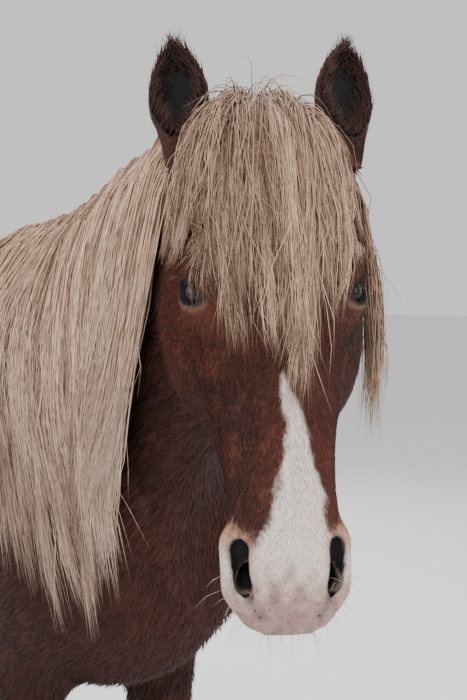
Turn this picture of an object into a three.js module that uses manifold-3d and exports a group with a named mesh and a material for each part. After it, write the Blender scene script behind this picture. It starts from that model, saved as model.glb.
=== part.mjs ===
// A standing Icelandic horse, life size, with its neck bent and its head turned to its right.
// Millimetres, +Z up. The trunk runs along Y with the breast towards -Y, and the horse's right side is
// towards -X.
// The shape is one smooth field of sections and muscles, meshed, thinned out and parted with thin cuts.
import * as THREE from "three";
import Module from "manifold-3d";

const wasm = await Module();
wasm.setup();

// Driving sizes of the horse
const HEAD_TURN = THREE.MathUtils.degToRad(37);
const HEAD_TILT = THREE.MathUtils.degToRad(20);
const HEAD_ROLL = THREE.MathUtils.degToRad(-0.5);
const HEAD_LENGTH = 579;
const POLL = new THREE.Vector3(-120, -856, 1509);
const EYE_RADIUS = 21;
const EYE_GAP = 0.35;
const PART_GAP = 0.3;
const HOOF_TOE_HEIGHT = 78;
const HOOF_HEEL_HEIGHT = 42;
const HOOF_WIDTH = 112;
const HOOF_SLOPE = THREE.MathUtils.degToRad(50);
const EAR_LENGTH = 130;
const MANE_LENGTH = 520;
const MANE_LEFT_LENGTH = 330;
const FORELOCK_LENGTH = 335;
const TAIL_TIP_HEIGHT = 255;
const HAIR_GAP = 1;
const LAST_GAP = 0.15;
const SEED = 7;

// Sections of the trunk from the breast to the buttocks: along Y, centre X, half width, belly, widest
// level, back
const TRUNK = [
  [-592, 0, 55, 880, 960, 1040],
  [-568, 0, 105, 800, 960, 1130],
  [-510, 0, 155, 735, 960, 1220],
  [-420, 0, 190, 700, 950, 1310],
  [-300, 0, 205, 690, 950, 1336],
  [-170, 0, 222, 688, 945, 1354],
  [-40, 0, 245, 684, 960, 1332],
  [120, 0, 266, 688, 970, 1304],
  [280, 0, 268, 708, 985, 1304],
  [430, 0, 252, 762, 1010, 1332],
  [550, 0, 238, 830, 1040, 1352],
  [660, 0, 215, 890, 1070, 1337],
  [745, 0, 165, 950, 1090, 1288],
  [790, 0, 100, 1010, 1110, 1215],
  [803, 0, 45, 1060, 1120, 1165],
];

// Sections of the neck from inside the shoulders to behind the poll: along Y, centre X, half width, throat,
// widest, crest
const NECK = [
  [-812, -118, 56, 1262, 1400, 1492],
  [-756, -98, 76, 1180, 1352, 1502],
  [-694, -73, 90, 1105, 1312, 1494],
  [-630, -49, 102, 1030, 1272, 1480],
  [-565, -30, 114, 965, 1232, 1465],
  [-480, -14, 124, 900, 1190, 1434],
  [-400, -4, 132, 860, 1150, 1403],
  [-280, 0, 135, 840, 1130, 1366],
];

// Sections of a left foreleg up from the hoof: along Z, centre X, half width, front, middle, back, from the
// leg's line
const FORELEG_LINE = -345;
const FORELEG = [
  [0, 112, 45, -125, -70, -20],
  [60, 112, 45, -112, -62, -18],
  [90, 112, 41, -97, -54, -12],
  [120, 113, 35, -76, -36, 6],
  [150, 114, 35, -54, -14, 30],
  [180, 114, 38, -40, 2, 46],
  [210, 114, 31, -32, 4, 42],
  [260, 114, 27, -28, 4, 37],
  [325, 114, 29, -30, 4, 38],
  [365, 115, 38, -40, 0, 40],
  [405, 116, 42, -46, -2, 42],
  [445, 117, 39, -43, -2, 40],
  [520, 118, 41, -46, -2, 46],
  [620, 120, 50, -58, 0, 60],
  [710, 122, 60, -72, 5, 80],
  [800, 124, 72, -88, 10, 100],
  [900, 120, 78, -100, 5, 105],
];

// Sections of a left hind leg up from the hoof: along Z, centre X, half width, front, middle, back
const HINDLEG = [
  [0, 124, 45, 594, 650, 700],
  [60, 124, 45, 606, 656, 702],
  [90, 124, 41, 620, 664, 708],
  [120, 125, 35, 640, 680, 718],
  [150, 125, 35, 660, 700, 736],
  [182, 125, 38, 676, 716, 756],
  [212, 125, 30, 684, 716, 750],
  [280, 125, 27, 683, 712, 744],
  [370, 126, 29, 676, 708, 742],
  [420, 127, 34, 667, 708, 748],
  [475, 128, 38, 655, 706, 758],
  [525, 128, 35, 646, 706, 768],
  [570, 129, 34, 630, 695, 762],
  [640, 131, 44, 592, 668, 738],
  [730, 136, 62, 535, 640, 742],
  [820, 140, 82, 475, 620, 762],
  [900, 140, 98, 455, 615, 782],
  [1000, 132, 108, 470, 620, 792],
  [1100, 120, 105, 510, 630, 785],
];

// How far each hoof stands ahead (-) or behind (+) of the leg's own line
const STANCE = { fore_left: -45, fore_right: 15, hind_left: -30, hind_right: 45 };
const STANCE_TOP = 760;

// Sections of the head in its own frame: along the face from the poll, centre, half width, back, widest,
// front
const SKULL = [
  [-10, 0, 42, -105, -66, -40],
  [8, 0, 60, -130, -66, -14],
  [40, 0, 78, -150, -64, 2],
  [95, 0, 84, -165, -62, 11],
  [150, 0, 93, -170, -60, 13],
  [200, 0, 95, -165, -62, 9],
  [245, 0, 89, -155, -66, 2],
  [300, 0, 74, -140, -70, -5],
  [350, 0, 63, -125, -66, -9],
  [400, 0, 58, -112, -60, -11],
  [440, 0, 59, -105, -56, -11],
  [475, 0, 61, -100, -54, -14],
  [505, 0, 54, -96, -56, -22],
  [528, 0, 46, -92, -60, -33],
  [541, 0, 36, -88, -64, -45],
  [549, 0, 22, -82, -66, -56],
];
const JAW = [
  [62, 0, 58, -175, -128, -60],
  [100, 0, 84, -216, -145, -60],
  [150, 0, 99, -240, -155, -60],
  [200, 0, 102, -243, -156, -60],
  [250, 0, 97, -226, -150, -60],
  [300, 0, 84, -197, -138, -60],
  [350, 0, 66, -165, -120, -60],
  [400, 0, 51, -140, -105, -60],
  [440, 0, 40, -122, -96, -60],
  [480, 0, 38, -124, -99, -72],
  [510, 0, 34, -119, -99, -78],
  [532, 0, 24, -109, -96, -82],
  [540, 0, 12, -102, -94, -86],
];
const NOSE_BRIDGE = [
  [180, 0, 44, -70, -30, 4],
  [250, 0, 40, -70, -30, 1],
  [320, 0, 35, -70, -30, -5],
  [380, 0, 32, -70, -30, -9],
  [430, 0, 32, -70, -30, -10],
  [478, 0, 28, -70, -34, -17],
];

// One smooth curve through knots [x, y], with the slope of the neighbours at each knot.
function curve(knots) {
  const slope = knots.map((k, i) => {
    const a = knots[Math.max(i - 1, 0)];
    const b = knots[Math.min(i + 1, knots.length - 1)];
    return (b[1] - a[1]) / (b[0] - a[0]);
  });
  return (x) => {
    if (x <= knots[0][0]) return knots[0][1];
    let i = 1;
    while (i < knots.length - 1 && knots[i][0] < x) i++;
    if (x >= knots[i][0]) return knots[i][1];
    const h = knots[i][0] - knots[i - 1][0];
    const t = (x - knots[i - 1][0]) / h;
    const u = 1 - t;
    return (
      knots[i - 1][1] * (1 + 2 * t) * u * u +
      knots[i][1] * (3 - 2 * t) * t * t +
      h * t * u * (slope[i - 1] * u - slope[i] * t)
    );
  };
}

const LOFT_STEP = 4;

// The field of a row of sections: negative inside, about the distance outside. It takes the place along,
// across and up.
function loft(rows, power = 2) {
  const first = rows[0][0];
  const last = rows.at(-1)[0];
  const count = Math.ceil((last - first) / LOFT_STEP);
  const columns = [1, 2, 3, 4, 5].map((c) => {
    const along = curve(rows.map((r) => [r[0], r[c]]));
    return Float64Array.from({ length: count + 2 }, (_, i) => along(first + i * LOFT_STEP));
  });
  return (s, a, b) => {
    const x = Math.min(Math.max((s - first) / LOFT_STEP, 0), count);
    const i = Math.floor(x);
    const [centre, half, low, wide, high] = columns.map((c) => c[i] + (c[i + 1] - c[i]) * (x - i));
    const across = Math.abs(a - centre) / half;
    const up = b > wide ? (b - wide) / (high - wide) : (wide - b) / (wide - low);
    const share = (across ** power + up ** power) ** (1 / power);
    const reach = Math.hypot(a - centre, b - wide);
    const side = share > 1e-6 ? reach * (1 - 1 / share) : -half;
    const beyond = Math.max(first - s, s - last);
    return beyond > 0 ? Math.hypot(Math.max(side, 0), beyond) : Math.max(side, beyond);
  };
}

// The field of an ellipsoid.
function ellipsoid([cx, cy, cz], [rx, ry, rz]) {
  return (x, y, z) => {
    const [px, py, pz] = [(x - cx) / rx, (y - cy) / ry, (z - cz) / rz];
    const k = Math.hypot(px, py, pz);
    return (k * (k - 1)) / Math.max(Math.hypot(px / rx, py / ry, pz / rz), 1e-9);
  };
}

// The field of a round bar with a radius at each end.
function bar([ax, ay, az], [bx, by, bz], ra, rb) {
  const [dx, dy, dz] = [bx - ax, by - ay, bz - az];
  const length2 = dx * dx + dy * dy + dz * dz;
  return (x, y, z) => {
    const along = ((x - ax) * dx + (y - ay) * dy + (z - az) * dz) / length2;
    const t = Math.min(Math.max(along, 0), 1);
    return Math.hypot(x - ax - t * dx, y - ay - t * dy, z - az - t * dz) - ra - t * (rb - ra);
  };
}

// Joins two fields with a fillet, or cuts the second out of the first with one.
function join(a, b, fillet) {
  const h = Math.max(fillet - Math.abs(a - b), 0) / fillet;
  return Math.min(a, b) - (h * h * fillet) / 4;
}
const carve = (a, b, fillet) => -join(-a, b, fillet);

// The head's own frame: across to its left, out of the face, and down the face from the poll.
const heading = new THREE.Vector3(-Math.sin(HEAD_TURN), -Math.cos(HEAD_TURN), 0);
const up = new THREE.Vector3(0, 0, 1);
const headLeft = up.clone().cross(heading);
const headFront = heading.clone().multiplyScalar(Math.cos(HEAD_TILT));
headFront.addScaledVector(up, Math.sin(HEAD_TILT));
const headDown = heading.clone().multiplyScalar(Math.sin(HEAD_TILT));
headDown.addScaledVector(up, -Math.cos(HEAD_TILT));
const rolledLeft = headLeft.clone().applyAxisAngle(headFront, -HEAD_ROLL);
const rolledDown = headDown.clone().applyAxisAngle(headFront, -HEAD_ROLL);
const headMatrix = new THREE.Matrix4().makeBasis(rolledLeft, headFront, rolledDown).setPosition(POLL);
const headInverse = headMatrix.clone().invert();
const HEAD_STRETCH = HEAD_LENGTH / SKULL.at(-1)[0];
const h = headInverse.elements;
const toHead = (x, y, z) => [
  h[0] * x + h[4] * y + h[8] * z + h[12],
  h[1] * x + h[5] * y + h[9] * z + h[13],
  (h[2] * x + h[6] * y + h[10] * z + h[14]) / HEAD_STRETCH,
];
const fromHead = (side, out, down) =>
  new THREE.Vector3(side, out, down * HEAD_STRETCH).applyMatrix4(headMatrix);

// The left half of each pair on the head: places across, out of the face and down it.
const EYE = new THREE.Vector3(76, -41, 205);
const EYE_OUT = new THREE.Vector3(0.84, 0.53, 0.06).normalize();
const EYE_LONG = new THREE.Vector3(-0.3, 0.72, 0.6).projectOnPlane(EYE_OUT).normalize();
const EYE_SHORT = EYE_OUT.clone().cross(EYE_LONG);
const LID = 5;
const EYE_OPENING = [21, 12, 13];

const skull = loft(SKULL, 2.35);
const jaw = loft(JAW, 2.4);
const noseBridge = loft(NOSE_BRIDGE, 3);
const orbit = ellipsoid([79, -46, 198], [24, 36, 46]);
const cheek = ellipsoid([70, -152, 203], [47, 80, 106]);
const faceCrest = bar([82, -72, 232], [60, -74, 312], 11, 8);
const templeHollow = ellipsoid([84, -18, 138], [20, 22, 34]);
const jawHollow = ellipsoid([0, -262, 255], [24, 42, 120]);
const chin = ellipsoid([0, -108, 503], [29, 19, 28]);
const nostrilWing = [bar([36, -68, 526], [49, -62, 503], 8, 10), bar([49, -62, 503], [54, -52, 462], 10, 11)];
const nostril = [bar([28, -48, 529], [43, -43, 500], 4, 10), bar([43, -43, 500], [49, -33, 470], 10, 10)];
const nostrilInside = bar([42, -48, 498], [26, -74, 462], 10, 9);
const lidBall = ellipsoid(EYE.toArray(), [EYE_RADIUS + LID, EYE_RADIUS + LID, EYE_RADIUS + LID]);
const MOUTH_START = 474;
const MOUTH_LEVEL = -88;
const MOUTH_WIDTH = 5;
const MOUTH_DEPTH = 6;

function head(x, y, z) {
  const [side, d, t] = toHead(x, y, z);
  const u = Math.abs(side);
  let f = join(skull(t, u, d), jaw(t, u, d), 26);
  f = join(f, noseBridge(t, u, d), 14);
  f = join(f, orbit(u, d, t), 22);
  f = join(f, cheek(u, d, t), 24);
  f = join(f, faceCrest(u, d, t), 16);
  f = join(f, chin(u, d, t), 14);
  for (const part of nostrilWing) f = join(f, part(u, d, t), 26);
  f = carve(f, templeHollow(u, d, t), 20);
  f = carve(f, jawHollow(u, d, t), 24);
  f = join(f, lidBall(u, d, t), 8);
  const level = MOUTH_LEVEL + (t - MOUTH_START) * 0.06;
  const groove = Math.exp(-(((d - level) / MOUTH_WIDTH) ** 2)) / (1 + Math.exp((MOUTH_START - t) / 3));
  f += MOUTH_DEPTH * groove;
  for (const part of nostril) f = carve(f, part(u, d, t), 5);
  f = carve(f, nostrilInside(u, d, t), 5);
  const [ex, ey, ez] = [u - EYE.x, d - EYE.y, (t - EYE.z) * HEAD_STRETCH];
  const out = ex * EYE_OUT.x + ey * EYE_OUT.y + ez * EYE_OUT.z;
  const long = ex * EYE_LONG.x + ey * EYE_LONG.y + ez * EYE_LONG.z;
  const short = ex * EYE_SHORT.x + ey * EYE_SHORT.y + ez * EYE_SHORT.z;
  const [a, b, c] = EYE_OPENING;
  const lids = Math.hypot(long / a, short / b, (out - EYE_RADIUS) / c) - 1;
  return carve(f, lids * b, 3);
}

const trunk = loft(TRUNK, 2.15);
const neck = loft(NECK, 2.1);
const foreleg = loft(FORELEG, 2.2);
const hindleg = loft(HINDLEG, 2.3);
const shoulder = ellipsoid([118, -375, 1010], [88, 120, 245]);
const upperArm = ellipsoid([128, -420, 900], [76, 105, 105]);
const breast = ellipsoid([74, -512, 925], [84, 76, 120]);
const haunch = ellipsoid([128, 590, 1130], [108, 165, 190]);
const buttock = ellipsoid([88, 715, 1040], [86, 88, 185]);
const dock = [bar([0, 750, 1282], [0, 836, 1222], 38, 30), bar([0, 836, 1222], [0, 868, 1060], 30, 18)];
const withers = ellipsoid([0, -190, 1306], [55, 190, 62]);

// One leg at a place: its sections lean so that the hoof stands ahead or behind.
function leg(shape, x, y, z, line, stance) {
  const lean = stance * (1 - Math.min(Math.max(z / STANCE_TOP, 0), 1));
  return shape(z, x, y - line - lean);
}

function body(x, y, z) {
  const u = Math.abs(x);
  const side = x > 0 ? "left" : "right";
  let f = join(trunk(y, x, z), withers(x, y, z), 40);
  f = join(f, neck(y, x, z), 80);
  f = join(f, shoulder(u, y, z), 60);
  f = join(f, upperArm(u, y, z), 50);
  f = join(f, breast(u, y, z), 50);
  f = join(f, haunch(u, y, z), 70);
  f = join(f, buttock(u, y, z), 60);
  for (const part of dock) f = join(f, part(x, y, z), 20);
  f = join(f, leg(foreleg, u, y, z, FORELEG_LINE, STANCE["fore_" + side]), 45);
  return join(f, leg(hindleg, u, y, z, 0, STANCE["hind_" + side]), 45);
}

const horse = (x, y, z) => join(body(x, y, z), head(x, y, z), 34);

// Grid points are worked out in blocks, and a block far from the surface takes the value of its middle.
const BLOCK = 4;
const BLOCK_MARGIN = 1.5;

// Corners of a cell by their bits x, y, z, and the six pieces it is cut into along its long diagonal.
const PIECES = [[0, 1, 3, 7], [0, 3, 2, 7], [0, 2, 6, 7], [0, 6, 4, 7], [0, 4, 5, 7], [0, 5, 1, 7]];

// Meshes the closed surface of a field inside a box, cell by cell, each cell cut into six tetrahedra.
function meshField(field, low, high, cell) {
  const n = low.map((v, i) => Math.ceil((high[i] - v) / cell) + 1);
  const at = (i, j, k) => (i * n[1] + j) * n[2] + k;
  const place = (i, axis) => low[axis] + i * cell;
  const value = new Float64Array(n[0] * n[1] * n[2]);
  const reach = BLOCK * cell * BLOCK_MARGIN;
  for (let bi = 0; bi < n[0]; bi += BLOCK)
    for (let bj = 0; bj < n[1]; bj += BLOCK)
      for (let bk = 0; bk < n[2]; bk += BLOCK) {
        const half = (BLOCK - 1) / 2;
        const middle = field(place(bi + half, 0), place(bj + half, 1), place(bk + half, 2));
        const near = Math.abs(middle) < reach;
        for (let i = bi; i < Math.min(bi + BLOCK, n[0]); i++)
          for (let j = bj; j < Math.min(bj + BLOCK, n[1]); j++)
            for (let k = bk; k < Math.min(bk + BLOCK, n[2]); k++) {
              const rim = i * j * k === 0 || i === n[0] - 1 || j === n[1] - 1 || k === n[2] - 1;
              const f = near ? field(place(i, 0), place(j, 1), place(k, 2)) : middle;
              const far = Math.abs(f) < cell / 50 ? cell / 50 : f;
              value[at(i, j, k)] = rim ? Math.max(far, cell / 4) : far;
            }
      }
  const shared = new Map();
  const points = [];
  const faces = [];
  const vertex = (a, b) => {
    const key = a < b ? a * value.length + b : b * value.length + a;
    let v = shared.get(key);
    if (v === undefined) {
      const t = value[a] / (value[a] - value[b]);
      const [start, end] = [a, b].map((g) => [
        Math.floor(g / (n[1] * n[2])),
        Math.floor(g / n[2]) % n[1],
        g % n[2],
      ]);
      v = points.push(start.map((from, m) => place(from + t * (end[m] - from), m))) - 1;
      shared.set(key, v);
    }
    return v;
  };
  for (let i = 0; i < n[0] - 1; i++)
    for (let j = 0; j < n[1] - 1; j++)
      for (let k = 0; k < n[2] - 1; k++) {
        const corner = [0, 1, 2, 3, 4, 5, 6, 7].map((c) => at(i + (c & 1), j + ((c >> 1) & 1), k + (c >> 2)));
        const inside = corner.filter((g) => value[g] < 0).length;
        if (inside === 0 || inside === 8) continue;
        for (const piece of PIECES) {
          const within = piece.filter((c) => value[corner[c]] < 0);
          const without = piece.filter((c) => value[corner[c]] >= 0);
          if (!within.length || !without.length) continue;
          const odd = oddOrder([...within, ...without], piece);
          const [a, b, c] = within.map((m) => corner[m]);
          const [d, e, g] = without.map((m) => corner[m]);
          let fan;
          if (within.length === 1) fan = [vertex(a, d), vertex(a, e), vertex(a, g)];
          else if (within.length === 3) fan = [vertex(a, d), vertex(c, d), vertex(b, d)].reverse();
          else fan = [vertex(a, d), vertex(a, e), vertex(b, e), vertex(b, d)];
          if (odd) fan.reverse();
          faces.push([fan[0], fan[1], fan[2]]);
          if (fan.length === 4) faces.push([fan[0], fan[2], fan[3]]);
        }
      }
  return { points, faces };
}

// Whether an order of four corners is an odd number of swaps away from another.
function oddOrder(order, from) {
  let swaps = 0;
  for (let i = 0; i < 4; i++)
    for (let j = i + 1; j < 4; j++) swaps += from.indexOf(order[i]) > from.indexOf(order[j]);
  return swaps % 2 === 1;
}

function slope(field, [x, y, z], e = 0.5) {
  return [
    (field(x + e, y, z) - field(x - e, y, z)) / (2 * e),
    (field(x, y + e, z) - field(x, y - e, z)) / (2 * e),
    (field(x, y, z + e) - field(x, y, z - e)) / (2 * e),
  ];
}

const LEAST_EDGE = 0.02;

// Thins a closed mesh to about a number of triangles: first every edge that is next to nothing is collapsed,
// and then, one by one, the edge that changes the shape least.
function thin({ points, faces }, target) {
  const p = points.map((v) => v.slice());
  const f = faces.map((t) => t.slice());
  const around = p.map(() => new Set());
  f.forEach((t, i) => t.forEach((v) => around[v].add(i)));
  const normal = (a, b, c) => {
    const [ux, uy, uz] = [b[0] - a[0], b[1] - a[1], b[2] - a[2]];
    const [vx, vy, vz] = [c[0] - a[0], c[1] - a[1], c[2] - a[2]];
    return [uy * vz - uz * vy, uz * vx - ux * vz, ux * vy - uy * vx];
  };
  const quadric = p.map(() => new Float64Array(10));
  for (const t of f) {
    const m = normal(p[t[0]], p[t[1]], p[t[2]]);
    const size = Math.hypot(...m) || 1e-12;
    const [a, b, c] = m.map((v) => v / size);
    const d = -(a * p[t[0]][0] + b * p[t[0]][1] + c * p[t[0]][2]);
    const q = [a * a, a * b, a * c, a * d, b * b, b * c, b * d, c * c, c * d, d * d];
    for (const v of t) q.forEach((x, i) => (quadric[v][i] += x * size));
  }
  const cost = (q, [x, y, z]) =>
    q[0] * x * x + 2 * q[1] * x * y + 2 * q[2] * x * z + 2 * q[3] * x + q[4] * y * y +
    2 * q[5] * y * z + 2 * q[6] * y + q[7] * z * z + 2 * q[8] * z + q[9];
  const best = (a, b) => {
    const q = quadric[a].map((x, i) => x + quadric[b][i]);
    const middle = p[a].map((x, i) => (x + p[b][i]) / 2);
    const minor = [q[4] * q[7] - q[5] * q[5], q[2] * q[5] - q[1] * q[7], q[1] * q[5] - q[2] * q[4]];
    const det = q[0] * minor[0] + q[1] * minor[1] + q[2] * minor[2];
    const choices = [middle, p[a], p[b]];
    const span2 = p[a].reduce((s, x, i) => s + (x - p[b][i]) ** 2, 0);
    if (Math.abs(det) > 1e-3 * (q[0] + q[4] + q[7]) ** 3 * 1e-3) {
      const middles = [q[0] * q[7] - q[2] * q[2], q[1] * q[2] - q[0] * q[5], q[0] * q[4] - q[1] * q[1]];
      const inverse = [minor, [minor[1], middles[0], middles[1]], [minor[2], middles[1], middles[2]]];
      const spot = inverse.map((row) => -(row[0] * q[3] + row[1] * q[6] + row[2] * q[8]) / det);
      const off2 = spot.reduce((s, x, i) => s + (x - middle[i]) ** 2, 0);
      if (off2 < span2) choices.push(spot);
    }
    const costs = choices.map((c) => cost(q, c));
    const least = costs.indexOf(Math.min(...costs));
    const tiny = span2 < LEAST_EDGE ** 2;
    return { at: choices[least], cost: tiny ? -1 : Math.max(costs[least], 0) + 1e-4 * span2 * span2 };
  };
  const heap = [];
  const push = (e) => {
    let i = heap.push(e) - 1;
    while (i > 0 && heap[(i - 1) >> 1].cost > heap[i].cost) {
      const up = (i - 1) >> 1;
      [heap[i], heap[up]] = [heap[up], heap[i]];
      i = up;
    }
  };
  const pop = () => {
    const top = heap[0];
    const end = heap.pop();
    if (heap.length) {
      heap[0] = end;
      for (let i = 0; ; ) {
        let c = 2 * i + 1;
        if (c >= heap.length) break;
        if (c + 1 < heap.length && heap[c + 1].cost < heap[c].cost) c++;
        if (heap[c].cost >= heap[i].cost) break;
        [heap[i], heap[c]] = [heap[c], heap[i]];
        i = c;
      }
    }
    return top;
  };
  const stamp = new Int32Array(p.length);
  const offer = (a, b) => push({ a, b, sa: stamp[a], sb: stamp[b], ...best(a, b) });
  f.forEach((t) => [0, 1, 2].forEach((i) => t[i] < t[(i + 1) % 3] && offer(t[i], t[(i + 1) % 3])));
  const neighbours = (v) => new Set([...around[v]].flatMap((i) => f[i]).filter((w) => w !== v));
  let left = f.length;
  while (heap.length && (left > target || heap[0].cost < 0)) {
    const e = pop();
    if (stamp[e.a] !== e.sa || stamp[e.b] !== e.sb) continue;
    const na = neighbours(e.a);
    const shared = [...neighbours(e.b)].filter((v) => na.has(v));
    if (shared.length !== 2) continue;
    const both = [...around[e.a]].filter((i) => around[e.b].has(i));
    const keep = [...around[e.a], ...around[e.b]].filter((i) => !both.includes(i));
    const flips = keep.some((i) => {
      const before = normal(...f[i].map((v) => p[v]));
      const after = normal(...f[i].map((v) => (v === e.a || v === e.b ? e.at : p[v])));
      const dot = before[0] * after[0] + before[1] * after[1] + before[2] * after[2];
      return dot < 0.3 * Math.hypot(...before) * Math.hypot(...after) || Math.hypot(...after) < 1e-3;
    });
    if (flips) continue;
    for (const i of both) f[i].forEach((v) => around[v].delete(i));
    both.forEach((i) => (f[i] = null));
    left -= both.length;
    for (const i of around[e.b]) {
      f[i] = f[i].map((v) => (v === e.b ? e.a : v));
      around[e.a].add(i);
    }
    around[e.b].clear();
    p[e.a] = e.at.slice();
    quadric[e.a] = quadric[e.a].map((x, i) => x + quadric[e.b][i]);
    stamp[e.a]++;
    stamp[e.b] = -1;
    for (const v of neighbours(e.a)) offer(e.a, v);
  }
  const used = new Map();
  const kept = f.filter(Boolean);
  for (const t of kept) for (const v of t) if (!used.has(v)) used.set(v, used.size);
  return { points: [...used.keys()].map((v) => p[v]), faces: kept.map((t) => t.map((v) => used.get(v))) };
}

// A closed mesh as a solid, turned right side out.
function solidOf({ points, faces }) {
  const volume = faces.reduce((sum, [a, b, c]) => {
    const [p, q, r] = [points[a], points[b], points[c]];
    const cross = [q[1] * r[2] - q[2] * r[1], q[2] * r[0] - q[0] * r[2], q[0] * r[1] - q[1] * r[0]];
    return sum + p[0] * cross[0] + p[1] * cross[1] + p[2] * cross[2];
  }, 0);
  const sides = volume < 0 ? faces.map(([a, b, c]) => [a, c, b]) : faces;
  return new wasm.Manifold(
    new wasm.Mesh({
      numProp: 3,
      vertProperties: Float32Array.from(points.flat()),
      triVerts: Uint32Array.from(sides.flat()),
    }),
  );
}

// A closed three.js geometry as points and faces.
function facesOf(geometry) {
  const seen = new Map();
  const points = [];
  const position = geometry.getAttribute("position");
  const shared = Array.from({ length: position.count }, (_, i) => {
    const p = [position.getX(i), position.getY(i), position.getZ(i)];
    const key = p.map((v) => Math.round(v * 1e4)).join();
    if (!seen.has(key)) seen.set(key, points.push(p) - 1);
    return seen.get(key);
  });
  const index = geometry.index ? Array.from(geometry.index.array) : [...shared.keys()];
  const faces = [];
  for (let i = 0; i < index.length; i += 3) {
    const t = [shared[index[i]], shared[index[i + 1]], shared[index[i + 2]]];
    if (new Set(t).size === 3) faces.push(t);
  }
  return { points, faces };
}

const FOLD_REACH = 0.01;
const FOLD_GAP = 0.03;

// Corners of different folds that lie at one place are drawn apart, each a little way towards its own
// neighbours.
function drawnApart({ points, faces }) {
  const order = [...points.keys()].sort((a, b) => points[a][0] - points[b][0]);
  const close = new Set();
  order.forEach((a, i) => {
    for (let j = i + 1; j < order.length && points[order[j]][0] - points[a][0] < FOLD_REACH; j++) {
      const b = order[j];
      if (Math.hypot(...points[a].map((v, m) => v - points[b][m])) < FOLD_REACH) close.add(a).add(b);
    }
  });
  const pull = points.map(() => new THREE.Vector3());
  for (const face of faces)
    for (const v of face) for (const w of face) pull[v].add(new THREE.Vector3(...points[w]));
  const moved = points.map((p, i) => {
    if (!close.has(i)) return p;
    const around = faces.filter((face) => face.includes(i)).length;
    const way = pull[i].divideScalar(3 * around).sub(new THREE.Vector3(...p)).normalize();
    return new THREE.Vector3(...p).addScaledVector(way, FOLD_GAP).toArray();
  });
  return { points: moved, faces };
}

const largest = (solid) => solid.decompose().sort((a, b) => b.volume() - a.volume())[0];

function boxSolid(low, high) {
  const size = high.map((v, i) => v - low[i]);
  const middle = high.map((v, i) => (v + low[i]) / 2);
  return solidOf(facesOf(new THREE.BoxGeometry(...size).translate(...middle)));
}

// The closed solid through rings of points. A ring turns left about the way that the rings follow one
// another.
function ringSolid(rings) {
  const n = rings[0].length;
  const last = (rings.length - 1) * n;
  const faces = [];
  for (let start = 0; start < last; start += n)
    for (let i = 0; i < n; i++) {
      const [a, b] = [start + i, start + ((i + 1) % n)];
      faces.push([a, b, b + n], [a, b + n, a + n]);
    }
  for (let i = 1; i < n - 1; i++) faces.push([0, i + 1, i], [last, last + i, last + i + 1]);
  return solidOf({ points: rings.flat().map((p) => p.toArray()), faces });
}

const FAR = 4000;

// The side of a plane that its normal points to, as a large block.
function halfSpace(point, normal) {
  const turn = new THREE.Quaternion().setFromUnitVectors(new THREE.Vector3(0, 0, 1), normal);
  const block = new THREE.BoxGeometry(FAR, FAR, FAR).translate(0, 0, FAR / 2).applyQuaternion(turn);
  return solidOf(facesOf(block.translate(...point)));
}

// Parts a solid by a plane with a thin gap: the side before the plane, then the side behind it.
function parted(solid, point, normal) {
  const shift = normal.clone().multiplyScalar(PART_GAP / 2);
  const before = solid.intersect(halfSpace(point.clone().add(shift), normal));
  const behind = solid.intersect(halfSpace(point.clone().sub(shift), normal.clone().negate()));
  return [before, behind];
}

// The points and faces of a solid.
function meshOf(solid) {
  const { numProp, vertProperties, triVerts, numVert } = solid.getMesh();
  const three = (row, start) => [...row.subarray(start, start + 3)];
  const points = Array.from({ length: numVert }, (_, i) => three(vertProperties, i * numProp));
  const faces = Array.from({ length: triVerts.length / 3 }, (_, i) => three(triVerts, 3 * i));
  return { points, faces };
}

// Keeps a solid a thin gap clear of another, which is cut out of it grown by the gap. A lock that is folded
// over itself is there twice, so the cut is made twice.
function clearOf(solid, other) {
  const { points, faces } = meshOf(other);
  const away = points.map(() => new THREE.Vector3());
  for (const face of faces) {
    const [p, q, r] = face.map((v) => new THREE.Vector3(...points[v]));
    const normal = q.sub(p).cross(r.sub(p));
    for (const v of face) away[v].add(normal);
  }
  const grown = points.map((p, i) => {
    return new THREE.Vector3(...p).addScaledVector(away[i].normalize(), HAIR_GAP).toArray();
  });
  const cutter = solidOf({ points: grown, faces });
  return solid.subtract(cutter).subtract(cutter);
}

// Trims off what still touches another solid, which is cut out of it moved a little each way.
function trimmed(solid, other) {
  const { points, faces } = meshOf(other);
  let rest = solid;
  for (const axis of [0, 1, 2])
    for (const way of [-LAST_GAP, LAST_GAP]) {
      const moved = points.map((p) => p.map((v, i) => (i === axis ? v + way : v)));
      rest = rest.subtract(solidOf({ points: moved, faces }));
    }
  return rest;
}

const flesh = (low, high, cell, triangles) => solidOf(thin(meshField(horse, low, high, cell), triangles));

const outward = (p) => new THREE.Vector3(...slope(horse, p.toArray(), 2)).normalize();

// The place where a straight way from a point first meets the horse.
function landing(from, way) {
  const p = from.clone();
  for (let i = 0; i < 200; i++) {
    const gap = horse(p.x, p.y, p.z);
    if (gap < 0.5) break;
    p.addScaledVector(way, Math.max(gap * 0.8, 0.5));
  }
  return p;
}

// Numbers between 0 and 1 in a fixed order.
function randomRow(seed) {
  let state = seed;
  return () => {
    state = (state * 1664525 + 1013904223) % 4294967296;
    return state / 4294967296;
  };
}
const random = randomRow(SEED);
const spread = (middle, share) => middle * (1 + share * (2 * random() - 1));

const DOWN = new THREE.Vector3(0, 0, -1);
const ROOT_DEPTH = 14;
const STRAND_SUBSTEPS = 5;
const LIFT = 150;

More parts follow.
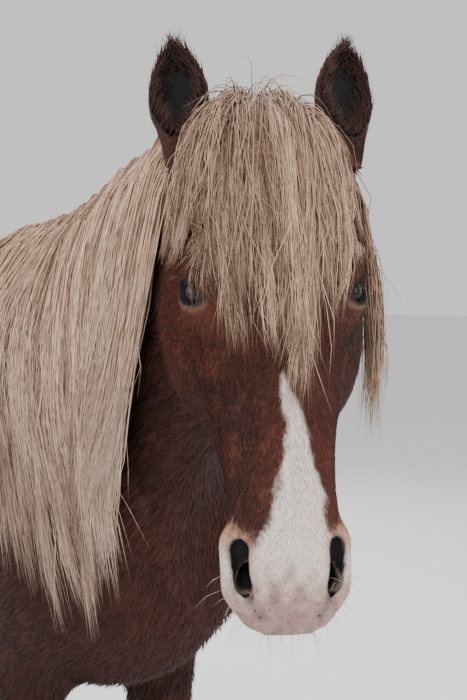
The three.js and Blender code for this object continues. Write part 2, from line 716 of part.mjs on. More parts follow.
// The line of a hanging lock: it leaves its root along an aim, falls, drifts more and more, and lies on the
// coat
// at a clearance.
function strand(root, aim, { length, steps, clear, fall, drift }) {
  const way = aim.clone().normalize();
  const points = [root.clone().addScaledVector(outward(root), -ROOT_DEPTH)];
  const p = root.clone();
  const count = steps * STRAND_SUBSTEPS;
  const small = length / count;
  for (let i = 1; i <= count; i++) {
    const pull = DOWN.clone().addScaledVector(drift, i / count).multiplyScalar(fall / count);
    way.add(pull).normalize();
    const before = p.clone();
    p.addScaledVector(way, small);
    const gap = horse(p.x, p.y, p.z);
    const rise = Math.min(0.3 + (i * small) / LIFT, 1) * clear;
    if (gap < rise) p.addScaledVector(outward(p), rise - gap);
    way.copy(p).sub(before).normalize();
    if (i === 1 || i % STRAND_SUBSTEPS === 0) points.push(p.clone());
  }
  return points;
}

// A flat lock along a line: a flat diamond in section, widest before its middle and tapered to its tip. Its
// face
// turns to the side that is outer there, and its first rings, which stand in the flesh, turn with the third.
function lock(line, width, thickness, twist, outer = outward) {
  const downAt = (i) => line[Math.min(i + 1, line.length - 1)].clone().sub(line[Math.max(i - 1, 0)]).normalize();
  let across = downAt(2).cross(outer(line[2]));
  const rings = line.map((p, i) => {
    const share = i / (line.length - 1);
    const down = downAt(i);
    if (i > 2) across.lerp(down.clone().cross(outer(p)), 0.6);
    across = across.projectOnPlane(down).normalize();
    const side = across.clone().applyAxisAngle(down, twist * share);
    const near = side.clone().cross(down).multiplyScalar((thickness / 2) * (1.1 - share));
    side.multiplyScalar((width / 2) * Math.min(1, 0.5 + 2 * share) * (1.04 - share ** 2.5));
    return [p.clone().add(side), p.clone().add(near), p.clone().sub(side), p.clone().sub(near)];
  });
  return ringSolid(rings);
}

const coat = new THREE.MeshStandardMaterial({ color: 0x5a2a1c, roughness: 0.8, metalness: 0 });
const flaxen = new THREE.MeshStandardMaterial({ color: 0xc9ae96, roughness: 0.7, metalness: 0 });
const horn = new THREE.MeshStandardMaterial({ color: 0x3a322c, roughness: 0.5, metalness: 0 });
const eyeball = new THREE.MeshStandardMaterial({ color: 0x121a1e, roughness: 0.08, metalness: 0 });

const model = new THREE.Group();

// The share of its triangles that a node with locks keeps.
const HAIR_KEEP = 0.72;

// Adds a node. One with locks is thinned out and cut clear of its neighbours once more.
function addNode(name, solid, material, neighbours = []) {
  let whole = meshOf(largest(solid));
  if (neighbours.length) {
    const spare = solidOf(thin(whole, HAIR_KEEP * whole.faces.length));
    whole = meshOf(largest(neighbours.reduce(trimmed, spare)));
  }
  const mesh = drawnApart(thin(whole, whole.faces.length));
  const geometry = new THREE.BufferGeometry();
  geometry.setAttribute("position", new THREE.Float32BufferAttribute(mesh.points.flat(), 3));
  geometry.setIndex(mesh.faces.flat());
  const node = new THREE.Mesh(geometry, material);
  node.name = name;
  model.add(node);
  return solidOf(mesh);
}

// Sections of an ear from inside its base to its tip: along it, centre, half width, back, widest, front.
const EAR_SHELL = [
  [-25, 0, 22, -18, 0, 18],
  [15, 0, 27, -24, 0, 21],
  [50, 0, 37, -25, -2, 17],
  [80, 0, 36, -20, -3, 11],
  [106, 0, 27, -15, -3, 6],
  [125, 0, 14, -9, -3, 1],
  [EAR_LENGTH, 0, 4, -5, -3, -1],
];
const EAR_CUP = [
  [14, 0, 10, -10, 6, 24],
  [32, 0, 20, -16, 4, 40],
  [54, 0, 29, -17, 2, 40],
  [80, 0, 28, -13, 0, 40],
  [104, 0, 20, -8, -1, 34],
  [119, 0, 9, -5, -1, 26],
  [126, 0, 3, -3, -1, 18],
];
const EAR_ROOT = [94, -64, 32];
const EAR_TIP = [101, -50, -78];
const EAR_OPENING = [0.25, 0.95, 0.15];
const EAR_CELL = 3.5;
const EAR_TRIANGLES = 250;
const EAR_CUT = [0.73, 0, -0.68];
const EAR_REACH = 60;
const EAR_CUT_REACH = 150;

// The frame of an ear: across it, out of its cup, and along it from its root.
function earMatrix(side) {
  const root = fromHead(side * EAR_ROOT[0], EAR_ROOT[1], EAR_ROOT[2]);
  const along = fromHead(side * EAR_TIP[0], EAR_TIP[1], EAR_TIP[2]).sub(root).normalize();
  const [a, b, c] = EAR_OPENING;
  const open = new THREE.Vector3(side * a, b, c).transformDirection(headMatrix).projectOnPlane(along).normalize();
  return new THREE.Matrix4().makeBasis(open.clone().cross(along), open, along).setPosition(root);
}

function earSolid(side) {
  const shell = loft(EAR_SHELL);
  const cup = loft(EAR_CUP);
  const ear = (a, b, s) => carve(shell(s, a, b), cup(s, a, b), 3);
  const mesh = thin(meshField(ear, [-45, -40, -35], [45, 40, EAR_LENGTH + 10], EAR_CELL), EAR_TRIANGLES);
  const matrix = earMatrix(side);
  const points = mesh.points.map((p) => new THREE.Vector3(...p).applyMatrix4(matrix).toArray());
  return solidOf({ points, faces: mesh.faces });
}

// The space of an ear, beyond a slanted cut at its root.
function earRegion(side, gap) {
  const root = fromHead(side * EAR_ROOT[0], EAR_ROOT[1], EAR_ROOT[2]);
  const along = new THREE.Vector3(side * EAR_CUT[0], EAR_CUT[1], EAR_CUT[2]).transformDirection(headMatrix);
  const front = new THREE.Vector3(0, 1, 0).transformDirection(headMatrix);
  const matrix = new THREE.Matrix4().makeBasis(front.clone().cross(along), front, along).setPosition(root);
  const block = new THREE.BoxGeometry(2 * (EAR_CUT_REACH - gap), 2 * (EAR_REACH - gap), 3 * EAR_LENGTH);
  return solidOf(facesOf(block.translate(0, 0, 1.5 * EAR_LENGTH + gap).applyMatrix4(matrix)));
}

function eyeSphere(side, radius) {
  const out = new THREE.Vector3(side * EYE_OUT.x, EYE_OUT.y, EYE_OUT.z).transformDirection(headMatrix);
  const turn = new THREE.Quaternion().setFromUnitVectors(new THREE.Vector3(0, 1, 0), out);
  const ball = new THREE.SphereGeometry(radius, 12, 8).applyQuaternion(turn);
  return solidOf(facesOf(ball.translate(...fromHead(side * EYE.x, EYE.y, EYE.z))));
}

// The head is parted from the neck by two planes, behind the jaw and the poll and below the throat,
// and the neck from the trunk before the shoulders.
const JAW_PLANE = fromHead(0, -100, -30);
const jawNormal = new THREE.Vector3(0, 270 * HEAD_STRETCH, 185).transformDirection(headMatrix);
const THROAT_PLANE = fromHead(0, -275, 270);
const throatNormal = new THREE.Vector3(0, 0.95, -0.3).transformDirection(headMatrix);
const NECK_PLANE = new THREE.Vector3(0, -250, 1390);
const neckNormal = new THREE.Vector3(0, -520, 340).normalize();
const DOCK_PLANE = new THREE.Vector3(0, 807, 0);
const dockNormal = new THREE.Vector3(0, 1, 0);

// The part of space that holds the head, with its planes moved out by a gap.
function headRegion(gap) {
  const jawSide = halfSpace(JAW_PLANE.clone().addScaledVector(jawNormal, -gap), jawNormal);
  return jawSide.intersect(halfSpace(THROAT_PLANE.clone().addScaledVector(throatNormal, -gap), throatNormal));
}

const SIDES = { right: -1, left: 1 };
const FORE_TOP = 712;
const KNEE = 402;
const HIND_TOP = 800;
const HOCK = 505;

const headMesh = flesh([-460, -1240, 900], [90, -640, 1600], 4, 3700);
let headWhole = headMesh.intersect(headRegion(0));
for (const side of Object.values(SIDES)) headWhole = headWhole.add(earSolid(side));
const ahead = (s, o, d) => new THREE.Vector3(s, o, d).transformDirection(headMatrix);
const still = new THREE.Vector3();
const FORELOCK_ROWS = [
  { count: 7, clear: 12, back: -30 },
  { count: 8, clear: 22, back: -52 },
];
const FORELOCK_WIDTH = 40;
const FORELOCK_SPAN = 34;
const FORELOCK_FALL = 13;
const FORELOCK_SKEW = 0.27;
const LOCK_THICKNESS = 8;
const LOCK_TWIST = 0.12;
const LOCK_STEPS = 5;
const ABOVE_POLL = -200;
const forelockDrift = headLeft.clone().multiplyScalar(0.12);
const forelockLength = (u) => FORELOCK_LENGTH * (1 + FORELOCK_SKEW * u);

// One strand of the forelock: u runs from the horse's right ear (-1) to its left one (1).
function forelockStrand(u, out, length, clear) {
  const root = landing(fromHead(FORELOCK_SPAN * u, out, ABOVE_POLL), ahead(0, 0, 1));
  const shape = { length, steps: LOCK_STEPS, clear, fall: FORELOCK_FALL, drift: forelockDrift };
  return strand(root, ahead(0.9 * u, 1, -0.1), shape);
}

const forelockPieces = [];
for (const { count, clear, back } of FORELOCK_ROWS)
  for (let i = 0; i < count; i++) {
    const u = -1 + (2 * (i + 0.25 + 0.5 * random())) / count;
    const line = forelockStrand(u, back, spread(forelockLength(u), 0.12), clear);
    forelockPieces.push(lock(line, spread(FORELOCK_WIDTH, 0.15), LOCK_THICKNESS, spread(LOCK_TWIST, 3)));
  }

// Loose locks that fall from behind the left ear over the cheek.
const CHEEK_LOCKS = 4;
const CHEEK_LOCK_LENGTH = 380;
const CHEEK_LOCK_WIDTH = 30;
const CHEEK_LOCK_THICKNESS = 6;
const CHEEK_LOCK_FALL = 11;
for (let i = 0; i < CHEEK_LOCKS; i++) {
  const root = landing(fromHead(44 + 6 * i, -92, ABOVE_POLL), ahead(0, 0, 1));
  const length = spread(CHEEK_LOCK_LENGTH, 0.1);
  const shape = { length, steps: LOCK_STEPS, clear: 14 + 5 * i, fall: CHEEK_LOCK_FALL, drift: still };
  const line = strand(root, ahead(1, 0.15, -0.3), shape);
  forelockPieces.push(lock(line, CHEEK_LOCK_WIDTH, CHEEK_LOCK_THICKNESS, spread(LOCK_TWIST, 3)));
}
const joined = (pieces) => pieces.reduce((whole, piece) => whole.add(piece));
let forelock = joined(forelockPieces);

let headNode = headWhole;
const neckNeighbours = [];
const eyes = [];
for (const [name, side] of Object.entries(SIDES)) {
  const ear = headWhole.intersect(earRegion(side, PART_GAP));
  addNode("ear_" + name, ear, coat);
  addNode("eye_" + name, eyeSphere(side, EYE_RADIUS), eyeball);
  eyes.push(eyeSphere(side, EYE_RADIUS));
  headNode = headNode.subtract(earRegion(side, 0));
  forelock = clearOf(forelock, largest(ear));
  neckNeighbours.push(largest(ear));
}
headNode = headNode.add(forelock);
for (const side of Object.values(SIDES)) headNode = headNode.subtract(eyeSphere(side, EYE_RADIUS + EYE_GAP));
neckNeighbours.push(addNode("head", headNode, coat, [...neckNeighbours, ...eyes]));

const trunkMesh = flesh([-330, -680, 600], [330, 930, 1480], 15, 1350);
let torso = parted(trunkMesh, NECK_PLANE, neckNormal)[1];
const legRegion = (side, front, back, top, inner) =>
  boxSolid([side > 0 ? inner : -FAR, front, -FAR], [side > 0 ? FAR : -inner, back, top]);

// The block of a hoof: a flat sole, a wall that slopes back to the coronet, and lower heels.
function hoof(x, coronetFront, coronetBack) {
  const sides = 22;
  const slopeBack = 1 / Math.tan(HOOF_SLOPE);
  const soleFront = coronetFront - HOOF_TOE_HEIGHT * slopeBack;
  const soleBack = coronetBack - HOOF_HEEL_HEIGHT * slopeBack;
  const ring = (front, back, halfWidth, height) =>
    Array.from({ length: sides }, (_, i) => {
      const a = (i / sides) * 2 * Math.PI;
      const heel = Math.max(Math.sin(a), 0);
      const y = (front + back) / 2 + ((back - front) / 2) * (heel > 0 ? heel ** 0.7 : Math.sin(a));
      return new THREE.Vector3(x + halfWidth * (1 - 0.16 * heel ** 2) * Math.cos(a), y, height(y));
    });
  const coronet = (y) =>
    HOOF_TOE_HEIGHT + ((y - coronetFront) / (coronetBack - coronetFront)) * (HOOF_HEEL_HEIGHT - HOOF_TOE_HEIGHT);
  return ringSolid([
    ring(soleFront, soleBack, HOOF_WIDTH / 2, () => 0),
    ring(coronetFront, coronetBack, HOOF_WIDTH * 0.44, coronet),
  ]);
}

// A tuft behind a fetlock, down from inside it: how far out from the leg's line and how high.
const FEATHER = [[12, 200], [40, 188], [50, 164], [50, 134], [40, 100]];
const FEATHER_TURNS = [-0.7, 0, 0.7];

const FEATHER_WIDTH = 46;
const FEATHER_THICKNESS = 10;

function feather(x, y, turn) {
  const [s, c] = [Math.sin(turn), Math.cos(turn)];
  const line = FEATHER.map(([out, z]) => new THREE.Vector3(x + 0.7 * out * s, y + out * c, z));
  return lock(line, FEATHER_WIDTH, FEATHER_THICKNESS, 0);
}

// Each leg's line, the middle of its hoof, the ends of its coronet, its top, its joint, its reach and its
// fetlock.
const FORE = {
  end: "fore", line: FORELEG_LINE, x: 112, front: -108, back: -12,
  top: FORE_TOP, joint: KNEE, reach: [-240, 190], fetlock: 2,
};
const HIND = {
  end: "hind", line: 0, x: 124, front: 609, back: 710,
  top: HIND_TOP, joint: HOCK, reach: [400, 850], fetlock: 714,
};
const CORONET_LEVEL = 60;
const FETLOCK_LEVEL = 180;
const LEG_APART = 20;

for (const [name, side] of Object.entries(SIDES)) {
  for (const { end, line, x, front, back, top, joint, reach, fetlock } of [FORE, HIND]) {
    const stance = STANCE[end + "_" + name];
    const low = [side > 0 ? 15 : -330, line + reach[0], 20];
    const high = [side > 0 ? 330 : -15, line + reach[1], top + 60];
    const leg = flesh(low, high, 9, 820);
    const [above, below] = parted(leg, new THREE.Vector3(0, 0, joint), new THREE.Vector3(0, 0, 1));
    const upper = above.intersect(legRegion(side, low[1], high[1], top - PART_GAP, LEG_APART));
    addNode("leg_" + end + "_" + name + "_upper", upper, coat);
    const coronetAt = line + stance * (1 - CORONET_LEVEL / STANCE_TOP);
    const fetlockAt = line + fetlock + stance * (1 - FETLOCK_LEVEL / STANCE_TOP);
    const coronetFront = new THREE.Vector3(0, coronetAt + front, HOOF_TOE_HEIGHT);
    const drop = HOOF_TOE_HEIGHT - HOOF_HEEL_HEIGHT;
    const coronetNormal = new THREE.Vector3(0, drop, back - front).normalize();
    coronetFront.addScaledVector(coronetNormal, PART_GAP);
    let lower = below.intersect(halfSpace(coronetFront, coronetNormal));
    for (const turn of FEATHER_TURNS) lower = lower.add(feather(side * x, fetlockAt, turn));
    addNode("leg_" + end + "_" + name + "_lower", lower, coat);
    addNode("hoof_" + end + "_" + name, hoof(side * x, coronetAt + front, coronetAt + back), horn);
    torso = torso.subtract(legRegion(side, low[1], high[1], top, LEG_APART));
  }
}
const [dockEnd, torsoNode] = parted(torso, DOCK_PLANE, dockNormal);
addNode("torso", torsoNode, coat);
neckNeighbours.push(largest(torsoNode));

const neckMesh = flesh([-260, -1000, 700], [260, -120, 1600], 12, 1100);
let neckNode = parted(neckMesh, NECK_PLANE, neckNormal)[0].subtract(headRegion(PART_GAP));
const crestX = curve(NECK.map((row) => [row[0], row[1]]));
const MANE_FRONT = -742;
const MANE_BACK = -250;
const MANE_FALL = 14;
const maneDrift = new THREE.Vector3(0.1, -0.3, 0);
const MANES = [
  {
    side: -1, lean: 1, length: MANE_LENGTH, width: 62,
    rows: [{ count: 10, clear: 12, beside: 16 }, { count: 12, clear: 24, beside: -8 }],
  },
  { side: 1, lean: 0.8, length: MANE_LEFT_LENGTH, width: 60, rows: [{ count: 8, clear: 13, beside: 10 }] },
];

// One strand of the mane on a side: u runs from the poll (0) to the withers (1).
function maneStrand(side, u, beside, aim, length, clear) {
  const y = MANE_FRONT + (MANE_BACK - MANE_FRONT) * u;
  const root = landing(new THREE.Vector3(crestX(y) + side * beside, y, POLL.z - ABOVE_POLL), DOWN);
  const shape = { length, steps: LOCK_STEPS, clear, fall: MANE_FALL, drift: maneDrift };
  return strand(root, new THREE.Vector3(side * aim, 0, 0.25), shape);
}

const maneShape = (u) => 0.88 + 0.26 * Math.sin(Math.PI * u);
const manePieces = [];
for (const { side, lean, length, width, rows } of MANES)
  for (const { count, clear, beside } of rows)
    for (let i = 0; i < count; i++) {
      const u = (i + 0.25 + 0.5 * random()) / count;
      const line = maneStrand(side, u, beside, lean, spread(length * maneShape(u), 0.1), clear);
      manePieces.push(lock(line, spread(width, 0.2), LOCK_THICKNESS, spread(LOCK_TWIST, 3)));
    }
neckNode = neckNode.add(neckNeighbours.reduce(clearOf, joined(manePieces)));
addNode("neck", neckNode, coat, neckNeighbours);

// Sections of the dense middle of the tail's hair: height, centre Y, half width, half depth.
const TAIL_CORE = [
  [1190, 862, 24, 22],
  [1080, 880, 44, 26],
  [900, 886, 62, 28],
  [740, 888, 48, 22],
  [640, 888, 16, 10],
];
const TAIL_LOCKS = 13;
const TAIL_LOCK_WIDTH = 70;
const TAIL_LOCK_THICKNESS = 12;
const TAIL_ROOT = 1258;
const TAIL_LINE = 884;
const tailCore = ringSolid(
  TAIL_CORE.map(([z, y, wide, deep]) =>
    Array.from({ length: 10 }, (_, i) => {
      const a = (i / 10) * 2 * Math.PI;
      return new THREE.Vector3(wide * Math.cos(a), y + deep * Math.sin(a), z);
    }),
  ),
);

// How far out a lock of the tail stands, by the share of its length.
const TAIL_SWELL = [[0, 6], [0.06, 42], [0.28, 80], [0.55, 98], [0.8, 88], [1, 50]];

// One lock of the tail: it leaves the dock at an angle about it, swells out, and falls to a thin tip.
function tailLock(angle, rise, length) {
  const [c, s] = [Math.cos(angle), Math.sin(angle)];
  const line = TAIL_SWELL.map(([share, out]) => {
    const z = TAIL_ROOT + rise - length * share;
    return new THREE.Vector3(out * 1.12 * c, TAIL_LINE - 54 * Math.max(1 - 3 * share, 0) + out * 0.55 * s, z);
  });
  const outer = (p) => new THREE.Vector3(p.x, 2 * (p.y - TAIL_LINE), 0).normalize();
  return lock(line, spread(TAIL_LOCK_WIDTH, 0.12), TAIL_LOCK_THICKNESS, spread(0.08, 3), outer);
}

let tailNode = dockEnd.add(tailCore);
for (let i = 0; i < TAIL_LOCKS; i++) {
  const angle = ((i + 0.4 * random()) / TAIL_LOCKS) * 2 * Math.PI;
  const rise = -80 * random();
  const tip = spread(TAIL_TIP_HEIGHT + 70, 0.2);
  tailNode = tailNode.add(tailLock(angle, rise, TAIL_ROOT + rise - tip));
}
tailNode = clearOf(tailNode, largest(torsoNode));
addNode("tail", tailNode, flaxen, [largest(torsoNode)]);

// The origin is below the middle of the whole, on the floor.
const extent = new THREE.Box3().setFromObject(model);
const middle = extent.getCenter(new THREE.Vector3());
model.position.set(-middle.x, -middle.y, -extent.min.z);

export default model;
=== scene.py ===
"""A standing Icelandic horse in its winter coat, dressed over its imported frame.

The flesh is one field of sections and muscles. It is meshed once as a skin, and the coat, the mane, the
forelock, the tail and the feathers are thin closed tufts and strands that grow from it.
"""
import math

import bpy
import numpy as np
from bpy.props import FloatProperty, FloatVectorProperty, IntProperty, PointerProperty
from mathutils import Matrix, Vector


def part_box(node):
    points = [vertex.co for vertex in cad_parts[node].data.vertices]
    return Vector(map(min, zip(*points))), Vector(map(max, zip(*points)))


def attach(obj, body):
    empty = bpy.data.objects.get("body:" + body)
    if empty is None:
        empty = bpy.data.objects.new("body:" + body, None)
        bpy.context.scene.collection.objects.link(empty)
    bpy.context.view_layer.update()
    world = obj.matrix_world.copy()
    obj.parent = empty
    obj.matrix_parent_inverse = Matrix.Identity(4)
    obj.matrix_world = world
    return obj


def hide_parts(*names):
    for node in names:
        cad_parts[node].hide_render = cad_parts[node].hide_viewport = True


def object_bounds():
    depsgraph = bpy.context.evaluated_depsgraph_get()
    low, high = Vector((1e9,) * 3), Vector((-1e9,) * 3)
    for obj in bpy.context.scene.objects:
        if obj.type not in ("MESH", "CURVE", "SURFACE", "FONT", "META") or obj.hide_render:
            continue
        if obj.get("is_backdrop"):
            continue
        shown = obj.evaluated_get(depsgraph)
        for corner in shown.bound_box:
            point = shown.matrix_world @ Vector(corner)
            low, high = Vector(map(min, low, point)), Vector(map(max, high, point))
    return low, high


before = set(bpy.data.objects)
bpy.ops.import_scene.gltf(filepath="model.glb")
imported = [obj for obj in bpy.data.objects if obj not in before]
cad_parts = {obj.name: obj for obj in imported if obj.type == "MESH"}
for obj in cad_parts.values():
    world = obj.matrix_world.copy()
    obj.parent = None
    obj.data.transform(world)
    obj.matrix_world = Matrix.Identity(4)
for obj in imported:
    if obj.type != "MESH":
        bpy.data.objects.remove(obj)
CAD_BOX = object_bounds()

bl_info = {
    "name": "Standing Icelandic Horse",
    "version": (1, 0, 0),
    "blender": (4, 5, 0),
    "location": "3D View > Sidebar > Horse",
    "description": "Dresses a life-size chestnut horse with a flaxen mane",
    "category": "Object",
}

# Driving sizes of the horse, in millimetres and in the frame in which its sections are given.
# The breast is towards -Y, and the horse's right side towards -X.
HEAD_TURN = math.radians(37)
HEAD_TILT = math.radians(20)
HEAD_ROLL = math.radians(-0.5)
HEAD_LENGTH = 579
POLL = np.array((-120.0, -856.0, 1509.0))
EYE_RADIUS = 21
HOOF_TOE_HEIGHT = 78
HOOF_HEEL_HEIGHT = 42
HOOF_WIDTH = 112
HOOF_SLOPE = math.radians(50)
EAR_LENGTH = 130
MANE_LENGTH = 520
MANE_LEFT_LENGTH = 330
FORELOCK_LENGTH = 335
TAIL_TIP_HEIGHT = 255
SIDES = {"right": -1, "left": 1}

# Sections of the trunk: along Y, centre X, half width, belly, widest level, back
TRUNK = [
    [-592, 0, 55, 880, 960, 1040],
    [-568, 0, 105, 800, 960, 1130],
    [-510, 0, 155, 735, 960, 1220],
    [-420, 0, 190, 700, 950, 1310],
    [-300, 0, 205, 690, 950, 1336],
    [-170, 0, 222, 688, 945, 1354],
    [-40, 0, 245, 684, 960, 1332],
    [120, 0, 266, 688, 970, 1304],
    [280, 0, 268, 708, 985, 1304],
    [430, 0, 252, 762, 1010, 1332],
    [550, 0, 238, 830, 1040, 1352],
    [660, 0, 215, 890, 1070, 1337],
    [745, 0, 165, 950, 1090, 1288],
    [790, 0, 100, 1010, 1110, 1215],
    [803, 0, 45, 1060, 1120, 1165],
]

# Sections of the neck: along Y, centre X, half width, throat, widest level, crest
NECK = [
    [-812, -118, 56, 1262, 1400, 1492],
    [-756, -98, 76, 1180, 1352, 1502],
    [-694, -73, 90, 1105, 1312, 1494],
    [-630, -49, 102, 1030, 1272, 1480],
    [-565, -30, 114, 965, 1232, 1465],
    [-480, -14, 124, 900, 1190, 1434],
    [-400, -4, 132, 860, 1150, 1403],
    [-280, 0, 135, 840, 1130, 1366],
]

# Sections of the legs: along Z, centre X, half width, front, middle, back
FORELEG_LINE = -345
FORELEG = [
    [0, 112, 45, -125, -70, -20],
    [60, 112, 45, -112, -62, -18],
    [90, 112, 41, -97, -54, -12],
    [120, 113, 35, -76, -36, 6],
    [150, 114, 35, -54, -14, 30],
    [180, 114, 38, -40, 2, 46],
    [210, 114, 31, -32, 4, 42],
    [260, 114, 27, -28, 4, 37],
    [325, 114, 29, -30, 4, 38],
    [365, 115, 38, -40, 0, 40],
    [405, 116, 42, -46, -2, 42],
    [445, 117, 39, -43, -2, 40],
    [520, 118, 41, -46, -2, 46],
    [620, 120, 50, -58, 0, 60],
    [710, 122, 60, -72, 5, 80],
    [800, 124, 72, -88, 10, 100],
    [900, 120, 78, -100, 5, 105],
]
HINDLEG = [
    [0, 124, 45, 594, 650, 700],
    [60, 124, 45, 606, 656, 702],
    [90, 124, 41, 620, 664, 708],
    [120, 125, 35, 640, 680, 718],
    [150, 125, 35, 660, 700, 736],
    [182, 125, 38, 676, 716, 756],
    [212, 125, 30, 684, 716, 750],
    [280, 125, 27, 683, 712, 744],
    [370, 126, 29, 676, 708, 742],
    [420, 127, 34, 667, 708, 748],
    [475, 128, 38, 655, 706, 758],
    [525, 128, 35, 646, 706, 768],
    [570, 129, 34, 630, 695, 762],
    [640, 131, 44, 592, 668, 738],
    [730, 136, 62, 535, 640, 742],
    [820, 140, 82, 475, 620, 762],
    [900, 140, 98, 455, 615, 782],
    [1000, 132, 108, 470, 620, 792],
    [1100, 120, 105, 510, 630, 785],
]
STANCE = {"fore_left": -45, "fore_right": 15, "hind_left": -30, "hind_right": 45}
STANCE_TOP = 760

# Sections of the head in its own frame: down the face from the poll, centre, half width, back, widest, front
SKULL = [
    [-10, 0, 42, -105, -66, -40],
    [8, 0, 60, -130, -66, -14],
    [40, 0, 78, -150, -64, 2],
    [95, 0, 84, -165, -62, 11],
    [150, 0, 93, -170, -60, 13],
    [200, 0, 95, -165, -62, 9],
    [245, 0, 89, -155, -66, 2],
    [300, 0, 74, -140, -70, -5],
    [350, 0, 63, -125, -66, -9],
    [400, 0, 58, -112, -60, -11],
    [440, 0, 59, -105, -56, -11],
    [475, 0, 61, -100, -54, -14],
    [505, 0, 54, -96, -56, -22],
    [528, 0, 46, -92, -60, -33],
    [541, 0, 36, -88, -64, -45],
    [549, 0, 22, -82, -66, -56],
]
JAW = [
    [62, 0, 58, -175, -128, -60],
    [100, 0, 84, -216, -145, -60],
    [150, 0, 99, -240, -155, -60],
    [200, 0, 102, -243, -156, -60],
    [250, 0, 97, -226, -150, -60],
    [300, 0, 84, -197, -138, -60],
    [350, 0, 66, -165, -120, -60],
    [400, 0, 51, -140, -105, -60],
    [440, 0, 40, -122, -96, -60],
    [480, 0, 38, -124, -99, -72],
    [510, 0, 34, -119, -99, -78],
    [532, 0, 24, -109, -96, -82],
    [540, 0, 12, -102, -94, -86],
]
NOSE_BRIDGE = [
    [180, 0, 44, -70, -30, 4],
    [250, 0, 40, -70, -30, 1],
    [320, 0, 35, -70, -30, -5],
    [380, 0, 32, -70, -30, -9],
    [430, 0, 32, -70, -30, -10],
    [478, 0, 28, -70, -34, -17],
]

# Sections of an ear from inside its base to its tip: along it, centre, half width, back, widest, front
EAR_SHELL = [
    [-25, 0, 22, -18, 0, 18],
    [15, 0, 27, -24, 0, 21],
    [50, 0, 37, -25, -2, 17],
    [80, 0, 36, -20, -3, 11],
    [106, 0, 27, -15, -3, 6],
    [125, 0, 14, -9, -3, 1],
    [EAR_LENGTH, 0, 4, -5, -3, -1],
]
EAR_CUP = [
    [14, 0, 10, -10, 6, 24],
    [32, 0, 20, -16, 4, 40],
    [54, 0, 29, -17, 2, 40],
    [80, 0, 28, -13, 0, 40],
    [104, 0, 20, -8, -1, 34],
    [119, 0, 9, -5, -1, 26],
    [126, 0, 3, -3, -1, 18],
]
EAR_ROOT = (94, -64, 32)
EAR_TIP = (101, -50, -78)
EAR_OPENING = (0.25, 0.95, 0.15)

# How close the rows of a section table are read, and the field's value where a shape is too far to matter
LOFT_STEP = 4
OUT_OF_REACH = 100.0


def unit(v):
    """Vectors at length one."""
    return v / np.maximum(np.linalg.norm(v, axis=-1, keepdims=True), 1e-9)


def smooth(low, high, value):
    """0 below low and 1 above high, with a soft step between them."""
    t = np.clip((value - low) / (high - low), 0, 1)
    return t * t * (3 - 2 * t)


def curve(knots, at):
    """A smooth curve through knots, with the slope of the neighbours at each knot, read at places."""
    knots = np.asarray(knots, float)
    x, y = knots[:, 0], knots[:, 1:]
    ahead = np.vstack([y[1:], y[-1:]]), np.append(x[1:], x[-1])
    before = np.vstack([y[:1], y[:-1]]), np.append(x[:1], x[:-1])
    slope = (ahead[0] - before[0]) / (ahead[1] - before[1])[:, None]
    at = np.clip(at, x[0], x[-1])
    i = np.clip(np.searchsorted(x, at), 1, len(x) - 1)
    h = (x[i] - x[i - 1])[..., None]
    t = (at - x[i - 1])[..., None] / h
    u = 1 - t
    ends = y[i - 1] * (1 + 2 * t) * u * u + y[i] * (3 - 2 * t) * t * t
    return ends + h * t * u * (slope[i - 1] * u - slope[i] * t)


def loft(rows, power=2.0):
    """The field of a row of sections: negative inside. It takes the place along, across and up. A power of
    two gives round sections, and a higher one gives squarer ones."""
    first, last = rows[0][0], rows[-1][0]
    count = math.ceil((last - first) / LOFT_STEP)
    table = curve(rows, first + LOFT_STEP * np.arange(count + 2)).astype(np.float32)
    steps = np.diff(table, axis=0)

    def field(s, a, b):
        x = np.clip((s - first) / LOFT_STEP, 0, count)
        i = x.astype(np.int32)
        row = table[i] + steps[i] * (x - i)[:, None]
        centre, half, low, wide, high = row.T
        across = np.abs(a - centre) / half
        up = np.where(b > wide, (b - wide) / (high - wide), (wide - b) / (wide - low))
        share = (across**power + up**power) ** (1 / power)
        reach = np.hypot(a - centre, b - wide)
        side = np.where(share > 1e-6, reach * (1 - 1 / np.maximum(share, 1e-6)), -half)
        beyond = np.maximum(first - s, s - last)
        return np.where(beyond > 0, np.hypot(np.maximum(side, 0), beyond), np.maximum(side, beyond))

    return field


def ellipsoid(centre, radii):
    """The field of an ellipsoid."""
    centre, radii = np.array(centre, np.float32), np.array(radii, np.float32)

    def field(*place):
        q = (np.stack(place, -1) - centre) / radii
        k = np.linalg.norm(q, axis=-1)
        return k * (k - 1) / np.maximum(np.linalg.norm(q / radii, axis=-1), 1e-9)

    return field


def bar(start, end, start_radius, end_radius):
    """The field of a round bar with a radius at each end."""
    start, way = np.array(start, np.float32), np.array(end, np.float32) - np.array(start, np.float32)

    def field(*place):
        q = np.stack(place, -1) - start
        t = np.clip(q @ way / (way @ way), 0, 1)
        return np.linalg.norm(q - t[:, None] * way, axis=-1) - start_radius - t * (end_radius - start_radius)

    return field


def join(a, b, fillet):
    """Joins two fields with a fillet."""
    h = np.maximum(fillet - np.abs(a - b), 0) / fillet
    return np.minimum(a, b) - h * h * fillet / 4


def carve(a, b, fillet):
    """Cuts the second field out of the first with a fillet."""
    return -join(-a, b, fillet)


def near(part, low, high, margin=70.0):
    """A field that is only worked out near its box, and is out of reach elsewhere."""
    low, high = np.array(low) - margin, np.array(high) + margin

    def bounded(p):
        held = ((p > low) & (p < high)).all(1)
        value = np.full(len(p), OUT_OF_REACH, p.dtype)
        if held.any():
            value[held] = part(p[held])
        return value

    return bounded


